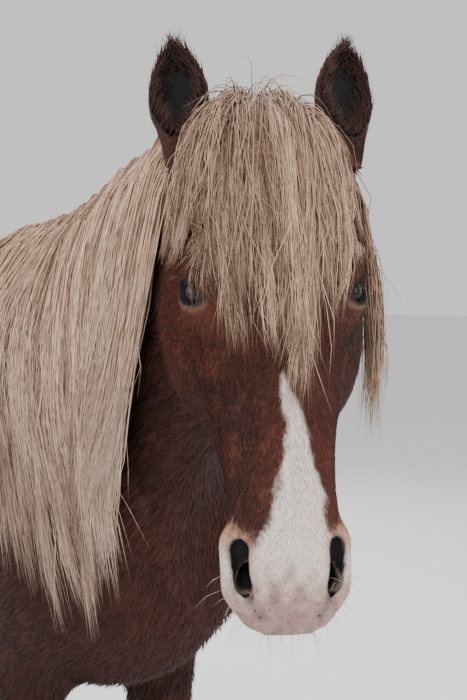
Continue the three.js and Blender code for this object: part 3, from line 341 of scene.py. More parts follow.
# The head's own frame: across to its left, out of the face, and down the face from the poll
heading = np.array((-math.sin(HEAD_TURN), -math.cos(HEAD_TURN), 0))
UP = np.array((0.0, 0.0, 1.0))
head_front = heading * math.cos(HEAD_TILT) + UP * math.sin(HEAD_TILT)
head_left = np.cross(UP, heading)
head_down = heading * math.sin(HEAD_TILT) - UP * math.cos(HEAD_TILT)
roll = np.array(Matrix.Rotation(-HEAD_ROLL, 3, Vector(head_front)))
HEAD_AXES = np.array([roll @ head_left, head_front, roll @ head_down])
HEAD_STRETCH = HEAD_LENGTH / SKULL[-1][0]


def to_head(p):
    """Places in the head's frame, with the length of the head at its sections' own scale."""
    q = (p - POLL.astype(p.dtype)) @ HEAD_AXES.T.astype(p.dtype)
    q[:, 2] /= HEAD_STRETCH
    return q


def from_head(places):
    """Places of the head's frame in the horse's frame."""
    q = np.array(places, float) * (1, 1, HEAD_STRETCH)
    return POLL + q @ HEAD_AXES


def from_head_way(ways):
    """Directions of the head's frame in the horse's frame."""
    return unit(np.array(ways, float) @ HEAD_AXES)


# The left eye in the head's frame: its middle, the way that it looks, and the ways along and across its lids
EYE = np.array((76.0, -41.0, 205.0))
EYE_OUT = unit(np.array((0.84, 0.53, 0.06)))
EYE_LONG = np.array((-0.3, 0.72, 0.6))
EYE_LONG = unit(EYE_LONG - EYE_OUT * (EYE_LONG @ EYE_OUT))
EYE_SHORT = np.cross(EYE_OUT, EYE_LONG)
UPPER_LID = math.copysign(1, EYE_SHORT @ np.array((0, 0.3, -1)))
# Half the opening between the lids, along them, across them and out of the eye, and how thick a lid is
EYE_OPENING = (21, 12, 13)
LID = 5

skull = loft(SKULL, power=2.35)
jaw = loft(JAW, power=2.4)
nose_bridge = loft(NOSE_BRIDGE, power=3)
orbit = ellipsoid((79, -46, 198), (24, 36, 46))
cheek = ellipsoid((70, -152, 203), (47, 80, 106))
face_crest = bar((82, -72, 232), (60, -74, 312), 11, 8)
temple_hollow = ellipsoid((84, -18, 138), (20, 22, 34))
jaw_hollow = ellipsoid((0, -262, 255), (24, 42, 120))
chin = ellipsoid((0, -108, 503), (29, 19, 28))
nostril_wing = [bar((36, -68, 526), (49, -62, 503), 8, 10), bar((49, -62, 503), (54, -52, 462), 10, 11)]
nostril = [bar((28, -48, 529), (43, -43, 500), 4, 10), bar((43, -43, 500), (49, -33, 470), 10, 10)]
nostril_inside = bar((42, -48, 498), (26, -74, 462), 10, 9)
lid_ball = ellipsoid(EYE, (EYE_RADIUS + LID,) * 3)

# What is joined onto the skull and what is cut out of it, each with the radius of its fillet
FACE_JOINED = [(orbit, 22), (cheek, 24), (face_crest, 16), (chin, 14), *[(wing, 26) for wing in nostril_wing]]
FACE_CUT = [(temple_hollow, 20), (jaw_hollow, 24)]
JAW_FILLET = 26
BRIDGE_FILLET = 14
LID_FILLET = 8
NOSTRIL_EDGE = 5
LID_EDGE = 3
MOUTH_START = 474
MOUTH_LEVEL = -88
MOUTH_RISE = 0.06
MOUTH_WIDTH = 5
MOUTH_DEPTH = 6


def eye_place(q):
    """Places of one side of the head about its eye: along the lids, across them and out of the eye."""
    e = (np.stack([np.abs(q[:, 0]), q[:, 1], q[:, 2]], -1) - EYE) * (1, 1, HEAD_STRETCH)
    return e @ EYE_LONG, e @ EYE_SHORT, e @ EYE_OUT


def lid_opening(q):
    """How far places of the head's frame are from the edge of the opening between the lids."""
    long, short, out = eye_place(q)
    a, b, c = EYE_OPENING
    return (np.sqrt((long / a) ** 2 + (short / b) ** 2 + ((out - EYE_RADIUS) / c) ** 2) - 1) * b


def head(p):
    """The field of the head without its ears."""
    q = to_head(p)
    u, d, t = np.abs(q[:, 0]), q[:, 1], q[:, 2]
    f = join(skull(t, u, d), jaw(t, u, d), JAW_FILLET)
    f = join(f, nose_bridge(t, u, d), BRIDGE_FILLET)
    for part, fillet in FACE_JOINED:
        f = join(f, part(u, d, t), fillet)
    for part, fillet in FACE_CUT:
        f = carve(f, part(u, d, t), fillet)
    f = join(f, lid_ball(u, d, t), LID_FILLET)
    level = MOUTH_LEVEL + (t - MOUTH_START) * MOUTH_RISE
    fading = 1 + np.exp(np.clip((MOUTH_START - t) / 3, -60, 60))
    f = f + MOUTH_DEPTH * (np.exp(-(((d - level) / MOUTH_WIDTH) ** 2)) / fading)
    for part in (*nostril, nostril_inside):
        f = carve(f, part(u, d, t), NOSTRIL_EDGE)
    return carve(f, lid_opening(q), LID_EDGE).astype(p.dtype)


def ear_frame(side):
    """The frame of an ear: across it, out of its cup and along it, and its root."""
    root = from_head(np.array(EAR_ROOT) * (side, 1, 1))
    along = unit(from_head(np.array(EAR_TIP) * (side, 1, 1)) - root)
    opening = from_head_way(np.array(EAR_OPENING) * (side, 1, 1))
    opening = unit(opening - along * (opening @ along))
    return np.array([np.cross(opening, along), opening, along]), root


ear_shell = loft(EAR_SHELL)
ear_cup = loft(EAR_CUP)
EARS = {side: ear_frame(side) for side in SIDES.values()}
EAR_FILLET = 9
EAR_REACH = 85
EAR_EDGE = 3


def ear(side):
    """The field of an ear with its cup."""
    axes, root = EARS[side]

    def field(p):
        q = (p - root.astype(p.dtype)) @ axes.T.astype(p.dtype)
        a, b, s = q.T
        return carve(ear_shell(s, a, b), ear_cup(s, a, b), EAR_EDGE)

    centre = root + axes[2] * EAR_LENGTH / 2
    return near(field, centre - EAR_REACH, centre + EAR_REACH, 0)


trunk = loft(TRUNK, power=2.15)
neck = loft(NECK, power=2.1)
foreleg = loft(FORELEG, power=2.2)
hindleg = loft(HINDLEG, power=2.3)
shoulder = ellipsoid((118, -375, 1010), (88, 120, 245))
upper_arm = ellipsoid((128, -420, 900), (76, 105, 105))
breast = ellipsoid((74, -512, 925), (84, 76, 120))
haunch = ellipsoid((128, 590, 1130), (108, 165, 190))
buttock = ellipsoid((88, 715, 1040), (86, 88, 185))
dock = [bar((0, 750, 1282), (0, 836, 1222), 38, 30), bar((0, 836, 1222), (0, 868, 1060), 30, 18)]
withers = ellipsoid((0, -190, 1306), (55, 190, 62))


def at_leg(shape, end, line):
    """The field of the legs of one end, on both sides, each leaning to its own stance."""

    def field(p):
        x, y, z = p.T
        stance = np.where(x > 0, STANCE[end + "_left"], STANCE[end + "_right"])
        lean = stance * (1 - np.clip(z / STANCE_TOP, 0, 1))
        return shape(z, np.abs(x), y - line - lean)

    return field


def columns(part):
    """A field of places as one of three columns."""
    return lambda p: part(*p.T)


def mirrored(part):
    """A field of the left side for both sides."""
    return lambda p: part(np.abs(p[:, 0]), p[:, 1], p[:, 2])



# Each muscle or limb near its own box, with the radius of the fillet that joins it
MUSCLES = [
    (near(lambda p: neck(p[:, 1], p[:, 0], p[:, 2]), (-180, -812, 840), (140, -280, 1502)), 80),
    (near(mirrored(shoulder), (-206, -495, 765), (206, -255, 1255)), 60),
    (near(mirrored(upper_arm), (-204, -525, 795), (204, -315, 1005)), 50),
    (near(mirrored(breast), (-158, -588, 805), (158, -436, 1045)), 50),
    (near(mirrored(haunch), (-236, 425, 940), (236, 755, 1320)), 70),
    (near(mirrored(buttock), (-174, 627, 855), (174, 803, 1225)), 60),
    (near(columns(dock[0]), (-38, 712, 1190), (38, 866, 1320)), 20),
    (near(columns(dock[1]), (-30, 806, 1040), (30, 898, 1252)), 20),
    (near(at_leg(foreleg, "fore", FORELEG_LINE), (-205, -515, 0), (205, -220, 900)), 45),
    (near(at_leg(hindleg, "hind", 0), (-245, 420, 0), (245, 845, 1100)), 45),
]
WITHERS_FILLET = 40


def trunk_and_withers(p):
    """The field of the trunk with the rise of the withers."""
    return join(trunk(p[:, 1], p[:, 0], p[:, 2]), withers(*p.T), WITHERS_FILLET)


trunk_near = near(trunk_and_withers, (-290, -592, 684), (290, 803, 1370))
HEAD_LOW, HEAD_HIGH = (-460, -1240, 900), (90, -640, 1600)
head_near = near(head, HEAD_LOW, HEAD_HIGH, 0)
ears = [ear(side) for side in SIDES.values()]
THROAT_FILLET = 34


def body(p):
    """The field of the horse without its head."""
    f = trunk_near(p)
    for part, fillet in MUSCLES:
        f = join(f, part(p), fillet)
    return f


def horse(p):
    """The field of the whole flesh: negative inside, about the distance outside."""
    f = join(body(p), head_near(p), THROAT_FILLET)
    for part in ears:
        f = join(f, part(p), EAR_FILLET)
    return f


SLOPE_STEP = 0.6


def slope(p):
    """The field's slope, which points out of the flesh, and the field at places."""
    middle = horse(p)
    ways = np.empty_like(p)
    for axis in range(3):
        moved = p.copy()
        moved[:, axis] += SLOPE_STEP
        ways[:, axis] = horse(moved) - middle
    return ways / SLOPE_STEP, middle


def outward(p):
    """The way out of the flesh at places."""
    return unit(slope(p)[0])


# How many waves a noise adds up, and what their sum is divided by
WAVES = 7
WAVES_HEIGHT = 3.2


def noise(p, scale, seed):
    """A smooth wavering between about -1 and 1, of waves about a scale long."""
    rng = np.random.default_rng(seed)
    total = np.zeros(len(p))
    for _ in range(WAVES):
        way = unit(rng.normal(size=3)) * 2 * math.pi / (scale * rng.uniform(0.6, 1.6))
        total += np.sin(p @ way + rng.uniform(0, 2 * math.pi))
    return total / WAVES_HEIGHT


# How the coat lies, how long it is and what colour it has at a place. The ways of the body are given in the
# horse's frame, those of the head in the head's frame.
BACK_WAY = np.array((0.0, 1.0, -0.6))
FLANK_WAY = np.array((0.12, 0.0, 0.0))
LEG_WAY = np.array((0.0, 0.22, -1.0))
FACE_WAY = np.array((0.0, 0.0, 1.0))
JAW_WAY = np.array((0.0, -0.55, 0.8))
CHEEK_SPREAD = 0.3
WAY_WAVER = 0.16


def on_head(p):
    """1 on the head and 0 on the body, with a soft change behind the jaw."""
    q = p.astype(np.float32)
    return smooth(12, -12, head_near(q) - np.minimum(body(q), OUT_OF_REACH - 40))


def on_ears(p):
    """For each side, 1 on its ear and 0 elsewhere."""
    q = p.astype(np.float32)
    return [smooth(6, 0, part(q)) * (head(q) > 2) for part in ears]


def lie(p, normal):
    """Which way the hairs lie: back and down the body, down the face and the legs and up the ears."""
    leg = smooth(820, 620, p[:, 2])[:, None]
    back = BACK_WAY + np.sign(p[:, :1]) * FLANK_WAY
    way = unit(back * (1 - leg) + LEG_WAY * leg)
    q = to_head(p)
    face = smooth(-130, -40, q[:, 1])[:, None]
    face_way = FACE_WAY * face + JAW_WAY * (1 - face)
    face_way = face_way + np.sign(q[:, :1]) * (CHEEK_SPREAD, 0, 0)
    share = on_head(p)[:, None]
    way = way * (1 - share) + (face_way @ HEAD_AXES) * share
    for on, direction in zip(on_ears(p), SIDES.values()):
        way = way * (1 - on[:, None]) + EARS[direction][0][2] * on[:, None]
    way = way + WAY_WAVER * np.stack([noise(p, 60, k) for k in range(3)], -1)
    return unit(way - normal * (way * normal).sum(1, keepdims=True))


# The length of the hairs in millimetres: on the legs, what the body and the belly add to that, down the face,
# and on the ears. The hairs below the jaw are longer, those round the eyes shorter.
LEG_COAT = 11
BODY_COAT = 13
BELLY_COAT = 8
FACE_COAT = [[0, 15], [120, 10], [300, 7], [430, 5], [480, 2.6], [560, 2.2]]
EAR_COAT = 6.5
BEARD = 1.1
LID_COAT = 0.35


def coat_length(p):
    """The length of the hairs in millimetres."""
    z = p[:, 2]
    belly = smooth(800, 690, z) * smooth(560, 640, z)
    body_length = LEG_COAT + BODY_COAT * smooth(420, 760, z) + BELLY_COAT * belly
    q = to_head(p)
    head_length = curve(FACE_COAT, q[:, 2])[:, 0]
    head_length = head_length * (1 + BEARD * smooth(-120, -190, q[:, 1]) * smooth(470, 380, q[:, 2]))
    head_length = head_length * (LID_COAT + (1 - LID_COAT) * smooth(6, 26, lid_opening(q)))
    share = on_head(p)
    length = body_length * (1 - share) + head_length * share
    for on in on_ears(p):
        length = length * (1 - on) + EAR_COAT * on
    return length


def coat_depth(p):
    """How deep the skin lies below the top of the coat."""
    return 0.28 * coat_length(p) + 0.3


def lid_rim_and_painted_shade(q):
    """1 on the pale rim below the lower lid, and 1 round the lids' opening: dark bare skin and painted shade.
    """
    near_eye = np.abs(q[:, 2] - EYE[2]) < 45
    gap = lid_opening(q)
    below = smooth(3, -4, eye_place(q)[1] * UPPER_LID)
    return smooth(9, 6, gap) * smooth(3, 5.5, gap) * below * near_eye, smooth(7.5, 3.5, gap) * near_eye


# The white stripe down the face: how far down, its middle and its half width
STRIPE = [
    [296, 0, 1.5],
    [314, 3, 3.5],
    [330, 7, 8],
    [358, 12, 10],
    [389, 12, 15],
    [418, 12, 25],
    [447, 9, 30],
    [468, 6, 41],
    [500, 0, 60],
]


# The muzzle's upper edge, down the face, which rises beside the nostrils from a distance off the middle
MUZZLE_LEVEL = 470
MUZZLE_SIDE = 42
MUZZLE_RISE = 0.9


def marks_and_painted_shade(p):
    """How far each mark covers each place, from 0 to 1: marks of the coat and skin, and of painted shade."""
    q = to_head(p)
    side, out, down = q.T
    centre, half = curve(STRIPE, down).T
    ragged = 2.5 * noise(p, 16, 3) + 1.2 * noise(p, 6, 4)
    white = smooth(3.5, -3.5, np.abs(side - centre) - half + ragged) * smooth(296, 306, down + ragged)
    white = white * smooth(-62, -42, out)
    share = on_head(p)
    lid, orbit_shade = lid_rim_and_painted_shade(q)
    edge = down - MUZZLE_LEVEL + MUZZLE_RISE * np.clip(np.abs(side) - MUZZLE_SIDE, 0, 30) + 1.6 * ragged
    muzzle = smooth(-8, 9, edge) * share
    bare = smooth(474, 520, down + 3 * ragged) * share
    lips = smooth(500, 524, down + 4 * ragged - 0.3 * np.abs(side)) * share
    tan_ring = smooth(-22, -4, edge) * smooth(30, 8, edge) * smooth(30, 44, np.abs(side)) * share
    hollow = np.minimum(*(part(np.abs(side), out, down) for part in nostril))
    inside = smooth(3.6, 1.2, np.minimum(hollow, nostril_inside(np.abs(side), out, down))) * share
    # Painted shade: near black inside the nostrils and in the cups of the ears
    dark = inside
    for side_sign, on in zip(SIDES.values(), on_ears(p)):
        axes, root = EARS[side_sign]
        a, b, s = ((p - root) @ axes.T).T
        cup = ear_cup(s.astype(np.float32), a.astype(np.float32), b.astype(np.float32))
        dark = np.maximum(dark, smooth(6, 3, cup) * on)
    return {
        "white": np.maximum(white * share, muzzle),
        "pink": bare,
        "lips": lips,
        "tan": tan_ring,
        "dark": dark,
        "rim": 0.8 * smooth(7, 2, hollow) * share * (1 - inside),
        "lid": lid * share,
        # Painted shade round the opening of the lids, over their dark bare skin
        "orbit": orbit_shade * share,
        # Darker lower legs, and painted shade over the neck and chest, from the withers forward
        "leg": np.maximum(smooth(560, 300, p[:, 2]), smooth(-150, -420, p[:, 1]) * (1 - share)),
    }


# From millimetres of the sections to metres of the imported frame
eye_low, eye_high = (np.array(corner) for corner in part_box("eye_left"))
SHIFT = (eye_low + eye_high) * 500 - from_head(EYE)


def to_row(p):
    """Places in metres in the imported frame."""
    return (np.asarray(p, float) + SHIFT) / 1000


def block_points(starts, counts, size):
    """The places in the grid of all points of blocks."""
    step = np.stack(np.meshgrid(*[np.arange(size)] * 3, indexing="ij"), -1).reshape(-1, 3)
    at = (starts[:, None] + step).reshape(-1, 3)
    return at[(at < counts).all(1)]


# The field is first read in blocks of this many cells, and a block is left out where the surface is far off.
BLOCK = 4
BLOCK_MARGIN = 2.3
PLACES_AT_ONCE = 400_000


def sampled(field, axes):
    """The field on a grid, worked out only in the blocks that the surface may pass through."""
    size = BLOCK
    counts = np.array([len(a) for a in axes])
    starts = [np.arange(0, n, size) for n in counts]
    low = [a[s] for a, s in zip(axes, starts)]
    high = [a[np.minimum(s + size - 1, len(a) - 1)] for a, s in zip(axes, starts)]
    middle = np.stack(np.meshgrid(*[(l + h) / 2 for l, h in zip(low, high)], indexing="ij"), -1)
    half = np.stack(np.meshgrid(*[(h - l) / 2 for l, h in zip(low, high)], indexing="ij"), -1)
    coarse = field(middle.reshape(-1, 3).astype(np.float32)).reshape(middle.shape[:3])
    close = np.abs(coarse) < BLOCK_MARGIN * np.linalg.norm(half, axis=-1)
    value = coarse
    for axis in range(3):
        value = value.repeat(size, axis)
    value = value[: counts[0], : counts[1], : counts[2]].copy()
    at = block_points(np.argwhere(close) * size, counts, size)
    for chunk in np.array_split(at, max(len(at) // PLACES_AT_ONCE, 1)):
        place = np.stack([a[chunk[:, k]] for k, a in enumerate(axes)], -1).astype(np.float32)
        value[tuple(chunk.T)] = field(place)
    return value


def surface(field, axes):
    """The closed surface of a field as points and quads, one point to a cell that it passes through."""
    value = sampled(field, axes)
    inside = value < 0
    count = np.zeros(np.array(value.shape) - 1, np.int8)
    corners = [(i, j, k) for i in (0, 1) for j in (0, 1) for k in (0, 1)]
    window = lambda c: tuple(slice(o, o + n) for o, n in zip(c, count.shape))
    for corner in corners:
        count += inside[window(corner)]
    mixed = (count > 0) & (count < 8)
    cells = np.argwhere(mixed)
    index = np.full(count.shape, -1, np.int32)
    index[mixed] = np.arange(len(cells))
    total, hits = np.zeros((len(cells), 3)), np.zeros(len(cells))
    for a in corners:
        for axis in range(3):
            if a[axis]:
                continue
            b = tuple(o + (k == axis) for k, o in enumerate(a))
            start, end = cells + a, cells + b
            va, vb = value[tuple(start.T)], value[tuple(end.T)]
            cross = (va < 0) != (vb < 0)
            t = np.where(cross, va / np.where(cross, va - vb, 1), 0)
            place = np.stack([ax[start[:, k]] for k, ax in enumerate(axes)], -1)
            place[:, axis] += t * (axes[axis][end[:, axis]] - place[:, axis])
            total += place * cross[:, None]
            hits += cross
    quads = []
    for axis in range(3):
        a, b = np.eye(3, dtype=int)[(axis + 1) % 3], np.eye(3, dtype=int)[(axis + 2) % 3]
        low = [slice(1, -1)] * 3
        high = [slice(1, -1)] * 3
        low[axis], high[axis] = slice(0, -1), slice(1, None)
        first, second = inside[tuple(low)], inside[tuple(high)]
        at = np.argwhere(first != second) + 1
        at[:, axis] -= 1
        quad = np.stack([index[tuple((at - off).T)] for off in (a + b, b, 0 * a, a)], -1)
        leaves = inside[tuple(at.T)]
        quads.append(np.where(leaves[:, None], quad, quad[:, ::-1]))
    return total / hits[:, None], np.vstack(quads)


def make_object(name, points, faces, attributes=None, patches=None):
    """A mesh object from points in millimetres and faces of equal corner count."""
    mesh = bpy.data.meshes.new(name)
    faces = np.ascontiguousarray(faces, np.int32)
    mesh.vertices.add(len(points))
    mesh.vertices.foreach_set("co", to_row(points).astype(np.float32).ravel())
    mesh.loops.add(faces.size)
    mesh.loops.foreach_set("vertex_index", faces.ravel())
    mesh.polygons.add(len(faces))
    mesh.polygons.foreach_set("loop_start", np.arange(0, faces.size, faces.shape[1], dtype=np.int32))
    mesh.polygons.foreach_set("use_smooth", np.ones(len(faces), bool))
    mesh.update(calc_edges=True)
    for key, value in (attributes or {}).items():
        layer = mesh.attributes.new(key, "FLOAT", "POINT")
        layer.data.foreach_set("value", np.ascontiguousarray(value, np.float32))
    if patches is not None:
        layer = mesh.uv_layers.new(name="OFBake")
        layer.data.foreach_set("uv", patches[faces.ravel()].astype(np.float32).ravel())
    obj = bpy.data.objects.new(name, mesh)
    bpy.context.scene.collection.objects.link(obj)
    return obj


def dress(obj, material, slot, *replaced):
    """Gives a still piece its material and hides the nodes that it stands for. Its slot is not used."""
    obj.data.materials.append(material)
    if replaced:
        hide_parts(*replaced)
    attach(obj, "root")


# Strands and tufts. A tip's share is its width against that of the root.
# A fall says how much the weight of a hair turns it downwards along its length.
PATCH = 0.003
FORELOCK_FALL = 13
CHEEK_LOCK_FALL = 11
CROWN_FALL = 5
MANE_FALL = 14
TUFT_TIP = 0.5
STRAND_TIP = 0.25
FINE_TIP = 0.3
STRAND_CLEAR = 1.5
SUBSTEPS = 24
KEPT_STEPS = 8
ROOT_DEPTH = 10.0
LIFT = 150.0
DOWN = -UP


def landing(start, way):
    """The places where straight ways from points first meet the flesh."""
    p = np.array(start, float)
    for _ in range(70):
        gap = horse(p.astype(np.float32)).astype(float)
        open_way = gap > 0.5
        if not open_way.any():
            break
        p += way * np.where(open_way, np.maximum(gap * 0.8, 0.5), 0)[:, None]
    return p


def hang(root, aim, length, clear, fall, drift):
    """The lines of hanging locks: each leaves its root along its aim, falls, drifts more and more, and lies
    on the coat at its clearance."""
    way = unit(np.broadcast_to(aim, root.shape).astype(float))
    p = np.array(root, float)
    lines = [p - outward(p.astype(np.float32)) * ROOT_DEPTH]
    small = (length / SUBSTEPS)[:, None]
    for i in range(1, SUBSTEPS + 1):
        pull = (DOWN + drift * (i / SUBSTEPS)) * (fall / SUBSTEPS)
        way = unit(way + pull)
        before = p.copy()
        p = p + way * small
        gap = horse(p.astype(np.float32))
        rise = np.minimum(0.3 + i * small[:, 0] / LIFT, 1) * clear
        low = gap < rise
        if low.any():
            p[low] += outward(p[low].astype(np.float32)) * (rise - gap)[low, None]
        way = unit(p - before)
        if i % (SUBSTEPS // KEPT_STEPS) == 0:
            lines.append(p.copy())
    return np.stack(lines, 1)


def line_frames(lines, outer=None):
    """The ways along, across and out of lines at each of their points."""
    along = unit(np.gradient(lines, axis=1))
    if outer is None:
        flat = lines.reshape(-1, 3).astype(np.float32)
        outer = outward(flat).reshape(lines.shape)
    outer = np.where(np.isfinite(outer), outer, 0) + 1e-3
    across = np.cross(along, outer)
    for i in (1, 0):
        across[:, i] = across[:, 2]
    across = unit(across - along * (across * along).sum(-1, keepdims=True))
    return along, across, np.cross(across, along)


def strands_of(lines, each, width, depth, rng, taper, wander, outer=None):
    """Strands in flat locks about lines: wide at their roots, drawn together at their tips."""
    along, across, out = line_frames(lines, outer)
    locks, steps = lines.shape[:2]
    lock = np.repeat(np.arange(locks), each)
    n = len(lock)
    width = np.broadcast_to(width, (locks,))[lock]
    depth = np.broadcast_to(depth, (locks,))[lock]
    t = np.linspace(0, 1, steps)
    share = 1 - 0.38 * rng.random(n) ** 2.2
    at = np.clip(share[:, None] * t * (steps - 1), 0, steps - 1.001)
    i = at.astype(int)
    f = (at - i)[..., None]
    pick = lambda a: a[lock[:, None], i] * (1 - f) + a[lock[:, None], i + 1] * f
    line, side, lift = pick(lines), pick(across), pick(out)
    a = rng.uniform(-1, 1, n) * 0.6 + rng.normal(0, 0.28, n)
    b = rng.uniform(-1, 1, n)
    profile = (0.75 + 0.5 * np.sin(math.pi * np.minimum(t * 1.6, 1))) * (1 - (1 - taper) * t**1.5)
    phase, pitch = rng.uniform(0, 2 * math.pi, (2, n, 1)), rng.uniform(0.6, 1.8, (n, 1))
    wave = np.sin(pitch * 2 * math.pi * t + phase[0]) - np.sin(phase[0])
    rise = np.sin(pitch * 1.3 * 2 * math.pi * t + phase[1]) - np.sin(phase[1])
    stray = np.where(rng.random(n) < 0.06, 3.0, 1.0) * rng.uniform(0.3, 1, n)
    sideways = width[:, None] / 2 * a[:, None] * profile + wander * stray[:, None] * wave * t
    outwards = depth[:, None] / 2 * b[:, None] * profile + 0.45 * wander * stray[:, None] * rise * t
    points = line + side * sideways[..., None] + lift * outwards[..., None]
    return points, lock


def lifted(points, least):
    """Strands pushed out of the flesh where they come too near it, apart from their roots."""
    n, steps = points.shape[:2]
    flat = points[:, 2:].reshape(-1, 3).astype(np.float32)
    gap = horse(flat)
    low = gap < least
    if low.any():
        flat[low] += outward(flat[low]) * (least - gap[low])[:, None]
    points[:, 2:] = flat.reshape(n, steps - 2, 3)
    return points


def tubes(lines, root_radius, tip_share, up):
    """Closed three-sided tapered tubes along lines, as points and triangles of one mesh."""
    n, m = lines.shape[:2]
    along = unit(np.gradient(lines, axis=1))
    across = unit(np.cross(along, up[:, None]) + 1e-6)
    out = np.cross(across, along)
    t = np.linspace(0, 1, m)
    radius = np.asarray(root_radius)[:, None] * (1 - (1 - tip_share) * t**1.6)
    angle = 2 * math.pi * np.arange(3) / 3
    ring = across[:, :-1, None] * np.cos(angle)[:, None] + out[:, :-1, None] * np.sin(-angle)[:, None]
    rings = lines[:, :-1, None] + ring * radius[:, :-1, None, None]
    points = np.concatenate([rings.reshape(n, -1, 3), lines[:, -1:]], 1)
    faces = [[0, 2, 1]]
    for j in range(m - 2):
        for k in range(3):
            a, b = 3 * j + k, 3 * j + (k + 1) % 3
            faces += [[a, b, b + 3], [a, b + 3, a + 3]]
    last = 3 * (m - 2)
    faces += [[last + k, last + (k + 1) % 3, last + 3] for k in range(3)]
    each = 3 * (m - 1) + 1
    faces = (np.array(faces)[None] + each * np.arange(n)[:, None, None]).reshape(-1, 3)
    share = np.append(np.repeat(t[:-1], 3), 1.0)
    around = np.append(np.tile(np.arange(3) / 3, m - 1), 0.5)
    return points.reshape(-1, 3), faces, share, around, each


def hair_pieces(name, lines, radius, tip_share, up, unwrap, per_strand, slot, material, parts=1):
    """Coat or long hair in one or more pieces, with a small patch of the unwrap for each strand."""
    for k in range(parts):
        held = slice(k, None, parts)
        points, faces, share, around, each = tubes(lines[held], radius[held], tip_share, up[held])
        corner = np.clip(unwrap[held], 0, 1 - PATCH)
        patches = corner[:, None] + PATCH * np.stack([around, share], -1)[None]
        values = {key: np.repeat(value[held], each) for key, value in per_strand.items()}
        values["along"] = np.tile(share, len(corner))
        title = name if parts == 1 else f"{name}_{k + 1}"
        obj = make_object(title, points, faces, values, patches.reshape(-1, 2))
        dress(obj, material, slot)


def closed_rows(points, turns):
    """Triangles round rows of points, closed by the last two points at the first and the last row."""
    grid = np.arange(len(points) - 2).reshape(-1, turns)
    ring = np.roll(grid, -1, 1)
    quads = np.stack([grid[:-1], grid[1:], ring[1:], ring[:-1]], -1).reshape(-1, 4)
    first = np.stack([np.full(turns, len(points) - 2), grid[0], ring[0]], -1)
    last = np.stack([np.full(turns, len(points) - 1), ring[-1], grid[-1]], -1)
    return np.vstack([quads[:, [0, 1, 2]], quads[:, [0, 2, 3]], first, last])


def turns_round(a, b):
    """The share of a full turn that a direction has made."""
    return np.arctan2(a, b) / (2 * math.pi) + 0.5


def unwrap_trunk(p):
    """A cylinder round the trunk's own length."""
    return np.stack([turns_round(p[:, 0], p[:, 2] - 1000), (p[:, 1] + 1000) / 2000], -1)


def unwrap_head(p):
    """A cylinder round the head's own length."""
    side, out, down = to_head(p).T
    return np.stack([turns_round(side, out + 90), (down + 160) / 760], -1)


def unwrap_legs(p):
    """A cylinder round each leg, side by side."""
    column = 2 * (p[:, 0] > 0) + (p[:, 1] > 100)
    middle = np.where(p[:, 1] > 100, 690, -345)
    turn = turns_round(np.abs(p[:, 0]) - 120, p[:, 1] - middle)
    return np.stack([(column + 0.98 * turn) / 4, p[:, 2] / 1000], -1)


def unwrap_crest(p):
    """A strip along the neck's crest."""
    return np.stack([(p[:, 1] + 900) / 750, 0.5 + (p[:, 0] - crest_x(p[:, 1])) / 400], -1)


def crest_x(y):
    """How far to the side the neck's crest lies."""
    return curve([[row[0], row[1]] for row in NECK], y)[:, 0]


# Shader maths
SPECULAR = "Specular IOR Level"
NOISE_ROUGHNESS = 0.55


class Wire:
    """A socket of a material with sums on it."""

    def __init__(self, graph, socket):
        self.graph, self.socket = graph, socket

    def _maths(self, operation, *values):
        return self.graph.node("Math", {"operation": operation}, dict(enumerate(values)))

    def __add__(self, other):
        return self._maths("ADD", self, other)

    def __rsub__(self, other):
        return self._maths("SUBTRACT", other, self)

    def __mul__(self, other):
        return self._maths("MULTIPLY", self, other)

    __radd__ = __add__
    __rmul__ = __mul__


class Graph:
    """A new material and its nodes."""

    def __init__(self, name):
        self.material = bpy.data.materials.new(name)
        self.material.use_nodes = True
        self.tree = self.material.node_tree
        self.tree.nodes.clear()

    def node(self, kind, settings=None, inputs=None, output=0):
        """Any node: its settings first, and then the values or links of its sockets."""
        node = self.tree.nodes.new("ShaderNode" + kind)
        for key, value in (settings or {}).items():
            setattr(node, key, value)
        for key, value in (inputs or {}).items():
            if isinstance(value, Wire):
                self.tree.links.new(value.socket, node.inputs[key])
            elif hasattr(value, "__len__") and len(value) == 3 and node.inputs[key].type == "RGBA":
                node.inputs[key].default_value = (*value, 1)
            else:
                node.inputs[key].default_value = value
        return Wire(self, node.outputs[output])

    def attribute(self, name):
        return self.node("Attribute", {"attribute_name": name}, output=2)

    def mix(self, factor, a, b):
        """A colour between two colours."""
        return self.node("Mix", {"data_type": "RGBA"}, {0: factor, 6: a, 7: b}, 2)

    def tinted(self, colour, factor):
        """A colour made lighter or darker by a factor that is a number at each place."""
        grey = self.node("CombineXYZ", inputs={0: factor, 1: factor, 2: factor})
        return self.node("VectorMath", {"operation": "MULTIPLY"}, {0: colour, 1: grey})

    def noise(self, coordinates, scale, detail=3.0):
        inputs = {"Vector": coordinates, "Scale": scale, "Detail": detail, "Roughness": NOISE_ROUGHNESS}
        return self.node("TexNoise", inputs=inputs)

    def ranged(self, value, low, high, start=0.0, end=1.0):
        """A value drawn from one range onto another, kept within it."""
        return self.node("MapRange", {"clamp": True}, {0: value, 1: low, 2: high, 3: start, 4: end})

    def object_place(self):
        return self.node("TexCoord", output=3)

    def stretched(self, coordinates, turn, scale):
        """Coordinates turned and then scaled along each axis."""
        turned = self.node("Mapping", {"vector_type": "POINT"}, {"Vector": coordinates, "Rotation": turn})
        return self.node("Mapping", {"vector_type": "POINT"}, {"Vector": turned, "Scale": scale})

    def finish(self, colour, rough, bump=None, bump_depth=0.001, **constants):
        """The surface: a colour, a roughness, a bump, and numbers set on the shader's own sockets."""
        inputs = {"Base Color": colour, "Roughness": rough, **constants}
        if bump is not None:
            heights = {"Height": bump, "Distance": bump_depth, "Strength": 1.0}
            inputs["Normal"] = self.node("Bump", inputs=heights)
        surface = self.node("BsdfPrincipled", inputs=inputs)
        output = self.tree.nodes.new("ShaderNodeOutputMaterial")
        self.tree.links.new(surface.socket, output.inputs[0])
        return self.material


